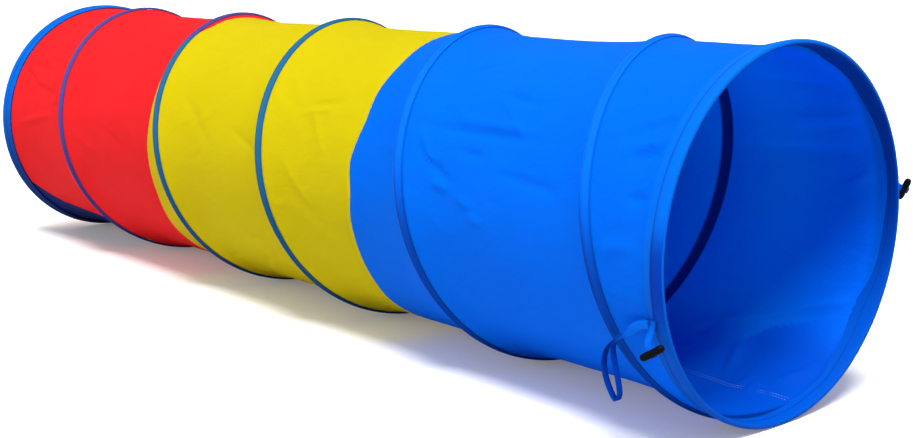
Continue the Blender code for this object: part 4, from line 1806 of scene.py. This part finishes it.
@dataclass
class SpringWires:
    """The coil and the two end hoops of spring wire, and their ferrules."""

    finish: SteelFinish
    per_turn: int = 100
    hoop_joint_angle: float = math.radians(198.0)
    butt_gap: float = 0.6 * MM
    tail_turns: float = 1 / 40

    def build(self) -> list[bpy.types.Object]:
        """Make the wires and dress the ferrules.

        Returns:
            The wires.
        """
        steel = self.finish.build()
        made = [self._coil(steel)]
        for end, body, side in (("front", Body.FRONT, 1), ("rear", Body.REAR, -1)):
            x = side * (FORM.half_length - FORM.hoop_setback)
            share = self.butt_gap / FORM.coil_radius / 2
            angle = np.linspace(share, math.tau - share, self.per_turn + 1)
            path = FORM.place(x, FORM.coil_radius, angle + self.hoop_joint_angle)
            wire = WIRES.run(end + "_hoop_wire", [path], steel, Wire_Radius=FORM.wire_radius)
            body.carry(wire, "spring_wire", "end hoop", end + "_hoop")
            made.append(wire)
            for kind in ("hoop", "coil"):
                dress_node(f"{end}_{kind}_ferrule", steel)
        return made

    def _coil(self, steel: bpy.types.Material) -> bpy.types.Object:
        """The helical wire, with a straight tail along each hoop.

        Args:
            steel: its material.

        Returns:
            The coil.
        """
        count = int(round(FORM.coil_turns * self.per_turn))
        turns = np.linspace(0, FORM.coil_turns, count + 1)
        x = FORM.coil_x(turns)
        x = np.concatenate((x[:1], x, x[-1:]))
        ends = ([-self.tail_turns], turns, [FORM.coil_turns + self.tail_turns])
        path = FORM.place(x, FORM.coil_radius, FORM.angle(np.concatenate(ends)))
        piece = WIRES.run("spring_coil", [path], steel, Wire_Radius=FORM.wire_radius)
        Body.MIDDLE.carry(piece, "spring_wire", "helical spring wire", "coil_wire", folds=True)
        return piece


def dress_node(node: str, material: bpy.types.Material) -> None:
    """Give a solid that stays shown a better finish.

    Args:
        node: the solid's name.
        material: its material.
    """
    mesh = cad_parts[node].data
    mesh.materials.clear()
    mesh.materials.append(material)
    LOG.info("%s keeps its solid", node)


AHEAD = np.array([1.0, 0, 0])
LOOP_NECK = (
    (0.00, 0.00, 0.5, 0.00, 0.00), (-0.12, -0.008, 0.5, 0.00, 0.15),
    (-0.26, -0.05, 0.5, 0.14, 0.35), (-0.42, -0.14, 0.5, 0.42, 0.58),
    (-0.58, -0.21, 0.5, 0.76, 0.78), (-0.75, -0.29, 0.4, 1.00, 0.92))
LOOP_BIGHT = (
    (-0.92, -0.40, 0.2, 1.00, 1.00), (-1.00, -0.58, 0.0, 1.00, 1.00),
    (-0.94, -0.76, 0.0, 1.00, 1.00), (-0.81, -0.92, 0.0, 1.00, 1.00),
    (-0.68, -1.00, 0.0, 1.00, 1.00), (-0.61, -0.92, 0.0, 1.00, 1.00),
    (-0.65, -0.76, 0.0, 1.00, 1.00), (-0.74, -0.56, 0.0, 1.00, 1.00),
    (-0.80, -0.40, 0.2, 1.00, 1.00))


@dataclass
class StrapSet:
    """One set on the front hem: a patch, a toggle on its strap, and a ribbon loop.

    Each row of the loop's course holds shares of its reach and drop, how far its two
    strands stand apart, how far it is turned on edge, and how far it leaves the hem.
    """

    name: str
    toggle_body: Body
    loop_body: Body
    angle: float
    hang: tuple[float, float, float]
    line_way: tuple[float, float, float]
    loop_out: float
    ribbon: ClothFinish
    plastic: PlasticFinish
    thread: ThreadFinish
    patch_setback: float = 21 * MM
    patch_width: float = 15 * MM
    patch_height: float = 14 * MM
    patch_thickness: float = 1.0 * MM
    fit_gap: float = 0.3 * MM
    sewn_above: float = 6 * MM
    sewn_spacing: float = 1.5 * MM
    toggle_length: float = 30 * MM
    toggle_diameter: float = 9.6 * MM
    waist_diameter: float = 9.2 * MM
    tip_diameter: float = 5.0 * MM
    strap_width: float = 8 * MM
    strap_thickness: float = 1.2 * MM
    strap_lead: float = 13 * MM
    strap_entry: float = 7 * MM
    loop_width: float = 10 * MM
    loop_thickness: float = 0.9 * MM
    strand_spacing: float = 2.6 * MM
    # painted light on the loop's neck and painted shade on its hanging strands
    lit_ribbon: Colour = (0.0, 0.150, 0.80)
    strap_ribbon: Colour = (0.0, 0.100, 0.62)
    shaded_ribbon: Colour = (0.0, 0.036, 0.33)
    loop_reach: float = 66 * MM
    loop_drop: float = 100 * MM
    loop_course: Sequence[tuple[float, ...]] = (*LOOP_NECK, *LOOP_BIGHT, *LOOP_NECK[::-1])
    stop_width: float = 8.4 * MM
    stop_thickness: float = 2.8 * MM
    slot_size: tuple[float, float, float] = (9.0 * MM, 24 * MM, 2.2 * MM)
    box_inset: float = 1.6 * MM
    strap_steps: int = 33
    barrel_sides: int = 36
    loop_steps: int = 200

    def __post_init__(self) -> None:
        """Work out the set's places and ways from its angle."""
        self.out = np.array([0, -math.sin(self.angle), -math.cos(self.angle)])
        self.up = np.array([0, -math.cos(self.angle), math.sin(self.angle)])
        if self.up[2] < 0:
            self.up = -self.up
        self.side = np.array([0, math.copysign(1, self.out[1]), 0])
        self.edge = np.array([0, math.copysign(1, self.up[1]), 0])
        face = FORM.outer_radius + self.fit_gap / FORM.roundness
        self.patch = FORM.place(FORM.half_length - self.patch_setback, face, self.angle)
        lifted = self.patch + self.out * (self.patch_thickness + self.fit_gap)
        self.pivot = lifted + self.up * self.sewn_above
        self.strap = self.pivot + AHEAD * (self.patch_width - self.strap_width) / 2
        self.loop = self.strap - AHEAD * (self.strap_width / 2 + self.sewn_spacing)
        self.line = unit(np.array(self.line_way, float))
        forward, away, drop = self.hang
        reach = np.array([forward, 0, -drop]) + self.side * away
        self.centre = self.strap + reach
        lead = unit(reach)
        self.enter = unit(lead - self.line * (lead @ self.line))

    def build(self) -> list[bpy.types.Object]:
        """Make the whole set.

        Returns:
            Its pieces.
        """
        cloth = self.ribbon.build()
        pieces = [self._patch(), self._strap(), self._toggle(), self._loop()]
        for piece in pieces:
            if not piece.data.materials:
                piece.data.materials.append(cloth)
        return pieces

    def _patch(self) -> bpy.types.Object:
        """The sewn patch, a little pillowed, with its box of stitches.

        Returns:
            The patch.
        """
        share = np.linspace(-0.5, 0.5, 13)
        grid_x, grid_up = np.meshgrid(share, share, indexing="ij")
        off_x, off_up = np.abs(2 * grid_x), np.abs(2 * grid_up)
        shrink = 1 / np.maximum((off_x**6 + off_up**6) ** (1 / 6), 1.0)
        edge = np.clip((1 - np.maximum(off_x, off_up)) * 4, 0, 1)
        along = AHEAD * (grid_x * shrink * self.patch_width)[..., None]
        upward = self.up * (grid_up * shrink * self.patch_height)[..., None]
        faces = []
        for level, bow in ((0.15, 0.0), (0.45, 0.35)):
            rise = self.patch_thickness * (level + bow * np.sqrt(edge)) - 0.3 * MM * (1 - level)
            place = self.patch + along + upward + self.out * rise[..., None]
            faces.append(place.reshape(-1, 3))
        flat = lay_out(grid_x * self.patch_width, grid_up * self.patch_height)
        piece = grid_shell(*faces, flat, share.size).build(self.name + "_patch")
        write_tint(piece, np.zeros((len(piece.data.vertices), 4)))
        Body.FRONT.carry(piece, "ribbon", "sewn patch", self.name + "_strap_patch")
        box = []
        for u, v in ((-1, -1), (1, -1), (1, 1), (-1, 1)):
            box.append(
                self.patch + AHEAD * u * (self.patch_width / 2 - self.box_inset) + self.up * v
                * (self.patch_height / 2 - self.box_inset) + self.out * self.patch_thickness
                * 0.8)
        stitches = STITCHES.run(
            self.name + "_patch_stitches", [np.array(box)], self.thread.build(), loops=True,
            Pitch=2.2 * MM, Stitch_Length=1.7 * MM, Thread_Radius=0.2 * MM)
        Body.FRONT.carry(stitches, "ribbon", "patch stitches")
        return piece

    def _strap(self) -> bpy.types.Object:
        """The strap, from the patch through the toggle to its sewn stop.

        Returns:
            The strap.
        """
        top = self.strap + self.out * self.strap_thickness / 2
        slot_in = self.centre - self.enter * self.toggle_diameter
        stop = self.centre + self.enter * (self.toggle_diameter / 2 + self.fit_gap)
        ends = (
            top, top - self.up * self.strap_lead, slot_in - self.enter * self.strap_entry,
            slot_in)
        curve = interpolate_bezier(*[Vector(p) for p in ends], self.strap_steps)
        tail = [slot_in + (stop - slot_in) * share for share in (0.35, 0.7, 1.0)]
        course = np.concatenate((np.array([list(p) for p in curve]), np.array(tail)))
        turned = np.clip((np.linspace(0, 1, self.strap_steps) - 0.4) / 0.6, 0, 1)
        turned = np.concatenate((turned, np.ones(len(tail))))[:, None]
        ways = unit(AHEAD * (1 - turned) + self.line * turned)
        section = band_section(self.strap_width, self.strap_thickness, 0.15 * MM)
        piece = sweep_band(self.name + "_strap", course, ways, section)
        knot = sweep_band(
            self.name + "_strap_stop",
            np.array([stop + self.enter * reach * MM for reach in (0.0, 0.3, 1.5, 1.8)]),
            np.tile(self.line, (4, 1)), band_section(self.stop_width, self.stop_thickness, 0.0))
        join_into(piece, knot)
        write_tint(piece, np.tile((*self.strap_ribbon, 1.0), (len(piece.data.vertices), 1)))
        self.toggle_body.carry(piece, "ribbon", "toggle strap", self.name + "_toggle_strap")
        LOG.info("%s strap is %.3f m long", self.name, run_along(course)[-1])
        return piece

    def _toggle(self) -> bpy.types.Object:
        """The moulded barrel, waisted, round at its tips, with its slot.

        Returns:
            The toggle.
        """
        half = [-0.5, -0.497, -0.488, -0.47, -0.44, -0.40, -0.35, -0.29, -0.22, -0.15, -0.08]
        shares = np.array([*half, 0.0, *(-share for share in half[::-1])])
        tip, full, waist = (
            size / 2 for size in (self.tip_diameter, self.toggle_diameter, self.waist_diameter))
        reach = np.abs(shares) * 2
        body = waist + (full - waist) * np.clip((reach - 0.2) / 0.5, 0, 1) ** 1.5
        nose = np.sqrt(np.clip(1 - np.clip((reach - 0.45) / 0.55, 0, 1) ** 2.6, 0, 1))
        radius = tip * 0.55 + (body - tip * 0.55) * nose
        spin = np.arange(self.barrel_sides)[:, None] / self.barrel_sides * math.tau
        ring = self.enter * np.cos(spin) + np.cross(self.line, self.enter) * np.sin(spin)
        middle = self.centre + self.line * (shares * self.toggle_length)[:, None]
        points = middle[:, None] + ring[None] * radius[:, None, None]
        faces = swept_faces(len(shares), self.barrel_sides, closed=False)
        barrel = MeshDraft(points, faces).build(self.name + "_toggle_barrel", sharp=40)
        ways = np.stack((self.line, self.enter, np.cross(self.enter, self.line)))
        corners = [
            self.centre + (np.array((a, b, c)) * self.slot_size) @ ways
            for a in (-0.5, 0.5)
            for b, c in ((-0.5, -0.5), (0.5, -0.5), (0.5, 0.5), (-0.5, 0.5))]
        cutter = MeshDraft(np.array(corners), swept_faces(2, 4, closed=False)).build("cutter")
        cut = barrel.modifiers.new("slot", "BOOLEAN")
        cut.operation, cut.solver, cut.object = "DIFFERENCE", "EXACT", cutter
        mesh = settled_mesh(barrel)
        mesh.name = barrel.name
        barrel.modifiers.clear()
        barrel.data = mesh
        bpy.data.objects.remove(cutter)
        mesh.materials.clear()
        mesh.materials.append(self.plastic.build())
        self.toggle_body.carry(barrel, "toggle_plastic", "toggle", self.name + "_toggle")
        return barrel

    def _loop(self) -> bpy.types.Object:
        """The ribbon loop, sewn down at both ends and twisted on edge at its neck.

        Returns:
            The loop.
        """
        face = self.out * (0.5 * MM + self.strand_spacing / 2)
        start = self.loop + face - self.up * self.loop_width / 2
        middles, edges, spreads = [], [], []
        for reach, drop, spread, turn, leave in self.loop_course:
            place = np.array([reach * self.loop_reach, 0, drop * self.loop_drop])
            middles.append(start + place + self.side * self.loop_out * leave)
            edges.append(unit(self.up * (1 - turn) + self.edge * turn))
            spreads.append([spread])
        middle, edge, spread = (
            smooth_course(rows, self.loop_steps) for rows in (middles, edges, spreads))
        face_ways = unit(np.cross(course_ways(middle), edge))
        course = middle + face_ways * self.strand_spacing * spread
        section = band_section(self.loop_width, self.loop_thickness, 0.0)
        piece = sweep_band(self.name + "_loop", course, edge, section)
        place = np.arange(len(piece.data.vertices)) // len(section) / (len(course) - 1)
        # painted light near the loop's sewn ends, painted shade on the hanging strands
        lit = (1 - ease(np.minimum(place, 1 - place), 0.15, 0.28))[:, None]
        colours = np.array(self.lit_ribbon) * lit + np.array(self.shaded_ribbon) * (1 - lit)
        write_tint(piece, np.concatenate((colours, np.ones((len(lit), 1))), axis=1))
        self.loop_body.carry(piece, "ribbon", "ribbon loop", self.name + "_ribbon_loop")
        return piece


def join_into(piece: bpy.types.Object, other: bpy.types.Object) -> None:
    """Put another object's mesh into a piece, as a part of it.

    Args:
        piece: the object that takes the mesh in.
        other: the object that goes into it.
    """
    joined = [piece, other]
    with bpy.context.temp_override(active_object=piece, selected_editable_objects=joined):
        bpy.ops.object.join()


# -------------------------------------------------------------------- studio


@dataclass
class Studio:
    """The pale floor, the soft lights and the camera of the photograph."""

    camera_place: tuple[float, float, float] = (1.8598, -1.3629, 0.5633)
    yaw: float = -0.85882
    pitch: float = 0.19177
    roll: float = 0.00115
    lens: float = 53.28
    sensor: float = 36.0
    shift_y: float = 10 / 917
    floor_size: float = 60.0
    world_strength: float = 0.40
    backdrop_strength: float = 1.05
    sun_strength: float = 4.8
    sun_width: float = math.radians(26)
    sun_place: tuple[float, float, float] = (0.25, -0.24, 1.0)
    fill_strength: float = 1.15
    fill_width: float = math.radians(50)
    fill_place: tuple[float, float, float] = (-0.25, -1.0, 0.15)
    softbox_place: tuple[float, float, float] = (2.6, -1.6, 2.3)
    softbox_target: tuple[float, float, float] = (0.7, 0.0, 0.2)
    softbox_size: float = 1.2
    softbox_power: float = 4.0

    def build(self) -> None:
        """Set the stage."""
        self._floor()
        self._world()
        self._sun("soft_sun", self.sun_place, self.sun_strength, self.sun_width)
        self._sun("side_fill", self.fill_place, self.fill_strength, self.fill_width)
        self._softbox()
        self._camera()
        bpy.context.scene.view_settings.view_transform = "Standard"

    def _floor(self) -> None:
        """Lay the floor just under the tunnel."""
        half, low = self.floor_size / 2, -0.2 * MM
        corners = ((-half, -half), (half, -half), (half, half), (-half, half))
        mesh = bpy.data.meshes.new("studio_floor")
        mesh.from_pydata([(x, y, low) for x, y in corners], [], [(0, 1, 2, 3)])
        mesh.materials.append(FloorFinish().build())
        new_object("studio_floor", mesh)

    def _world(self) -> None:
        """Surround the set with even pale light, before a white backdrop."""
        world = bpy.data.worlds.new("studio_world")
        world.use_nodes = True
        desk = NodeDesk(world.node_tree)
        seen = desk.add("ShaderNodeLightPath").outputs["Is Camera Ray"]
        more = self.backdrop_strength - self.world_strength
        strength = desk.math("MULTIPLY_ADD", seen, more, self.world_strength)
        light = {"Color": (1.0, 1.0, 1.0, 1.0), "Strength": strength}
        back = desk.add("ShaderNodeBackground", light).outputs[0]
        desk.add("ShaderNodeOutputWorld", {"Surface": back})
        bpy.context.scene.world = world

    @staticmethod
    def _sun(
        name: str, place: tuple[float, float, float], strength: float, width: float
    ) -> None:
        """Light the set evenly from one side.

        Args:
            name: the light's name.
            place: the side that the light comes from.
            strength: its strength.
            width: the angle that it seems wide.
        """
        light = bpy.data.lights.new(name, "SUN")
        light.energy, light.angle = strength, width
        lamp = new_object(name, light)
        lamp.rotation_euler = Vector(place).to_track_quat("Z", "Y").to_euler()

    def _softbox(self) -> None:
        """Hang the square softbox before the front opening."""
        light = bpy.data.lights.new("front_softbox", "AREA")
        light.shape, light.size, light.energy = "SQUARE", self.softbox_size, self.softbox_power
        lamp = new_object("front_softbox", light)
        way = Vector(self.softbox_target) - Vector(self.softbox_place)
        lamp.matrix_world = Matrix.LocRotScale(
            Vector(self.softbox_place), way.to_track_quat("-Z", "Y"), Vector((1, 1, 1)))

    def _camera(self) -> None:
        """Put the camera where the photograph was taken from."""
        data = bpy.data.cameras.new("photo_camera")
        data.lens, data.sensor_width, data.shift_y = self.lens, self.sensor, self.shift_y
        camera = new_object("photo_camera", data)
        flat, ahead = math.cos(self.pitch), math.sin(self.yaw)
        ahead = Vector((flat * ahead, flat * math.cos(self.yaw), -math.sin(self.pitch)))
        level = Vector((math.cos(self.yaw), -math.sin(self.yaw), 0))
        up = level.cross(ahead)
        right = level * math.cos(self.roll) + up * math.sin(self.roll)
        top = up * math.cos(self.roll) - level * math.sin(self.roll)
        turn = Matrix((right, top, -ahead)).transposed().to_4x4()
        turn.translation = Vector(self.camera_place)
        camera.matrix_world = turn
        bpy.context.scene.camera = camera


# --------------------------------------------------------- finishes and lists

BLUE_CLOTH = ClothFinish(
    "blue_taffeta", colour=(0.0, 0.192, 0.88), deep=(0.0, 0.145, 0.77), tint_share=0.85)
YELLOW_CLOTH = ClothFinish(
    "yellow_taffeta", colour=(0.71, 0.61, 0.005), deep=(0.65, 0.54, 0.004), tint_share=0.85)
RED_CLOTH = ClothFinish(
    "red_taffeta", colour=(0.87, 0.025, 0.030), deep=(0.76, 0.018, 0.023), tint_share=0.85)
HEM_CLOTH = ClothFinish(
    "front_hem_taffeta", colour=(0.0, 0.058, 0.40), deep=(0.0, 0.040, 0.30), glow=0.10,
    tint_share=0.85, crinkle_size=0.010, crinkle_stretch=1.6, crinkle_depth=0.0004)
REAR_HEM_TAPE = ClothFinish(
    "rear_hem_binding", colour=(0.001, 0.060, 0.36), deep=(0.001, 0.040, 0.26), tint_share=0.85,
    glow=0.05, spacing=0.0009, rib=1.6, crinkle_size=0.010, crinkle_stretch=1.6,
    crinkle_depth=0.0003)
# the lap's near-black blue is painted shade of the hem's cloth near the floor
REAR_LAP_SHADE_CLOTH = ClothFinish(
    "rear_hem_lap_shade_cloth", colour=(0.001, 0.014, 0.12), deep=(0.001, 0.009, 0.08), glow=0.05,
    spacing=0.0009, rib=1.6, crinkle_depth=0.0003)
COIL_TAPE = ClothFinish(
    "coil_binding", colour=(0.001, 0.058, 0.20), deep=(0.001, 0.036, 0.15), glow=0.04,
    spacing=0.0009, rib=1.6, crinkle_size=0.008, crinkle_stretch=1.6, crinkle_depth=0.0003,
    tint_share=0.85)
RIBBON = ClothFinish(
    "blue_ribbon", colour=(0.0, 0.060, 0.38), deep=(0.0, 0.038, 0.27), glow=0.08,
    spacing=0.0006, rib=1.8, weave_depth=0.00009, crinkle_size=0.012, crinkle_stretch=1.5,
    crinkle_depth=0.0003, tint_share=0.9)
BLUE_THREAD = ThreadFinish("blue_thread", (0.0, 0.025, 0.22), (0.0, 0.012, 0.13))
PALE_THREAD = ThreadFinish("pale_thread", (0.30, 0.46, 0.80), (0.20, 0.36, 0.72))
YELLOW_THREAD = ThreadFinish("yellow_thread", (0.86, 0.72, 0.14), (0.70, 0.52, 0.06))

WIRES = WireTool()
STITCHES = StitchTool()

BLUE_SEAM = SeamLine(
    FORM.blue_seam,
    (
        (-180, 0.0), (-140, 2.0), (-100, -3.0), (-60, 3.0), (-20, -2.0), (20, -5.0), (40, -8.0),
        (52, -1.0), (68, 0.0), (82, -1.0), (91, 4.0), (102, -3.5), (118, 9.0), (131, 2.0),
        (145, 4.0), (162, -4.0)))
RED_SEAM = SeamLine(
    FORM.red_seam,
    (
        (-180, -12.0), (-150, 0.0), (-110, 4.0), (-60, -4.0), (-10, 3.0), (30, -3.0),
        (51, -7.0), (70, 9.0), (79, 8.0), (94, 5.0), (103, 9.0), (117, 9.0), (148, 2.0),
        (158, 4.0), (168, -6.0)))
FRONT_EDGE = SeamLine(FORM.front_hem_line + 18 * MM)
REAR_EDGE = SeamLine(FORM.rear_hem_line - 12 * MM)
FRONT_HEM_INSIDE = (
    (-166, 42), (-154, 34), (-143, 25), (-132, 25), (-119, 17), (-105, 14), (-95, 15),
    (-84, 19), (-75, 19), (-66, 24), (-59, 36), (-46, 29), (-34, 26), (-29, 20), (-20, 26),
    (170, 28))

BLUE_FOLDS = folds_of((
    (0.554, 135.6, 0.623, 132.9, 6, -3.4), (0.448, 119.7, 0.657, 119.3, 7, -4.2),
    (0.518, 123.8, 0.636, 122.3, 6, 2.7), (0.441, 117.1, 0.4805, 105.5, 5, 3.4),
    (0.459, 108.7, 0.5125, 101.4, 6, -3.8), (0.482, 100.4, 0.5185, 98.8, 6, 3.4),
    (0.530, 96.5, 0.564, 94.3, 6, 3.4), (0.553, 91.2, 0.581, 89.5, 6, 3.4),
    (0.521, 112.8, 0.571, 111.3, 6, -3.4), (0.608, 106.7, 0.721, 103.7, 8, -3.0),
    (0.800, 124.1, 0.873, 132.8, 6, -4.9), (0.815, 120.0, 0.876, 125.4, 5, 4.2),
    (0.822, 116.8, 0.883, 123.1, 5, -4.2), (0.8345, 105.4, 0.861, 107.1, 6, -4.2),
    (0.829, 69.2, 0.872, 73.3, 4, -4.2), (0.830, 67.2, 0.871, 72.0, 4, 3.4),
    (0.847, 73.1, 0.873, 74.0, 4, 3.4), (0.735, -140.8, 0.865, -137.6, 10, 4.2),
    (0.758, -121.8, 0.8765, -125.5, 10, -4.2), (0.687, -108.1, 0.851, -109.9, 10, 4.2),
    (0.821, -98.3, 0.8825, -103.9, 7, -4.9), (0.653, -36.8, 0.742, -45.1, 8, -6.1),
    (0.742, -45.1, 0.857, -58.7, 8, -6.1), (0.656, -32.2, 0.689, -40.3, 7, 4.9),
    (0.836, -20.6, 0.873, -33.1, 7, -4.9), (0.802, -17.7, 0.801, -10.3, 6, -4.6),
    (0.763, -16.8, 0.737, -33.9, 7, -4.9), (0.8206, -7.5, 0.814, -15.5, 6, -4.9)))
YELLOW_FOLDS = folds_of((
    (0.1595, 121.0, 0.231, 124.0, 6, -3.4), (0.149, 117.8, 0.221, 122.0, 6, 2.7),
    (-0.200, 118.0, -0.080, 96.0, 11, -1.7), (-0.150, 80.0, -0.030, 64.0, 12, 1.7),
    (0.020, 130.0, 0.140, 112.0, 12, 1.5), (0.140, 88.0, 0.260, 70.0, 12, -1.7)))
RED_FOLDS = folds_of((
    (-0.851, 123.2, -0.723, 120.7, 6, -4.6), (-0.863, 120.4, -0.776, 111.7, 6, -4.6),
    (-0.776, 111.7, -0.690, 107.9, 7, -3.8), (-0.829, 91.9, -0.696, 98.3, 7, 4.2),
    (-0.800, 128.0, -0.690, 130.0, 8, 2.3), (-0.480, 96.0, -0.380, 88.0, 9, -1.9),
    (-0.600, 92.0, -0.500, 84.0, 10, 1.9)))
SET_ANGLES = (math.radians(72.0), math.radians(252.0))


def build_panels() -> None:
    """Make the three panels and the lap of the rear hem."""
    grid = SkinGrid()
    blue = FabricPanel(
        "blue_cloth", "blue_panel", Body.FRONT, "blue_fabric", FRONT_EDGE, BLUE_SEAM,
        BLUE_CLOTH, (*BLUE_FOLDS, *stray_folds(11, 60, 0.86, 0.31)),
        deep_inside=(0.0, 0.37, 0.93), mouth_floor=(0.0, 0.095, 0.64))
    # band: painted shadow of the tape on the yellow and red panels' inner faces
    yellow = FabricPanel(
        "yellow_cloth", "yellow_panel", Body.MIDDLE, "yellow_fabric", BLUE_SEAM, RED_SEAM,
        YELLOW_CLOTH, (*YELLOW_FOLDS, *stray_folds(12, 60, 0.28, -0.29)),
        band=(0.090, 0.095, 0.060))
    red = FabricPanel(
        "red_cloth", "red_panel", Body.REAR, "red_fabric", RED_SEAM, REAR_EDGE, RED_CLOTH,
        (*RED_FOLDS, *stray_folds(13, 60, -0.32, -0.87)), band=(0.150, 0.010, 0.040))
    for panel in (blue, yellow, red):
        panel.build(grid)
    HemLap(REAR_LAP_SHADE_CLOTH).build(red)


def build_seams() -> None:
    """Sew the panels' seams, round the tunnel and along it."""
    around = np.arange(420) / 420 * math.tau
    for name, line, side in (("blue", BLUE_SEAM, -1), ("red", RED_SEAM, 1)):
        rows = [(line.at(around) + side * 3.2 * MM, around, -0.1 * MM)]
        SeamStitches(
            name + "_seam_stitches", Body.MIDDLE, "yellow_fabric", YELLOW_THREAD, rows,
            loops=True
        ).build()
    for name, body, front, rear in (
        ("blue", Body.FRONT, 0.866, 0.304), ("yellow", Body.MIDDLE, 0.288, -0.297),
        ("red", Body.REAR, -0.313, -0.870)
    ):
        x = np.linspace(front, rear, 240)
        rows = []
        for aside in (-3 * MM, 3 * MM):
            angle = FORM.long_seam_angle(x) + aside / FORM.rib_radius
            rows.append((x, angle, 1.2 * MM))
        SeamStitches(
            name + "_long_stitches", body, name + "_fabric", PALE_THREAD, rows, pitch=4 * MM,
            radius=0.3 * MM
        ).build()


def build_sets() -> None:
    """Make the near and far toggle sets."""
    near, far = SET_ANGLES
    dress = (RIBBON, PlasticFinish(), BLUE_THREAD)
    StrapSet(
        "near", Body.NEAR_TOGGLE, Body.NEAR_LOOP, near, (6 * MM, 6 * MM, 35 * MM),
        (0.62, 0.62, 0.48), 1 * MM, *dress
    ).build()
    StrapSet(
        "far", Body.FAR_TOGGLE, Body.FAR_LOOP, far, (12 * MM, 28 * MM, 48 * MM),
        (0.25, 0.35, 0.90), 17 * MM, *dress
    ).build()


def main() -> None:
    """Dress the tunnel and set the stage."""
    logging.basicConfig(level=logging.INFO, format="%(message)s")
    Studio().build()
    SpringWires(SteelFinish()).build()
    HemBand(
        "front_hem_band", "front_hem", Body.FRONT, "blue_fabric", FORM.half_length, 1, 30 * MM,
        18 * MM, HEM_CLOTH, BLUE_THREAD, sets_at=SET_ANGLES, inner_widths=FRONT_HEM_INSIDE
    ).build()
    # the rear hem's inner and low tints below are painted shade
    HemBand(
        "rear_hem_band", "rear_hem", Body.REAR, "tape_fabric", -FORM.half_length, -1, 29 * MM,
        16 * MM, REAR_HEM_TAPE, BLUE_THREAD, outer_tint=(0.0, 0.110, 0.54),
        inner_shade_tint=(0.0, 0.05, 0.36), low_shade_tint=(0.001, 0.012, 0.10), lit_from=2.0
    ).build()
    BindingTape(COIL_TAPE, BLUE_THREAD).build()
    build_panels()
    build_seams()
    build_sets()


if __name__ == "__main__":
    main()
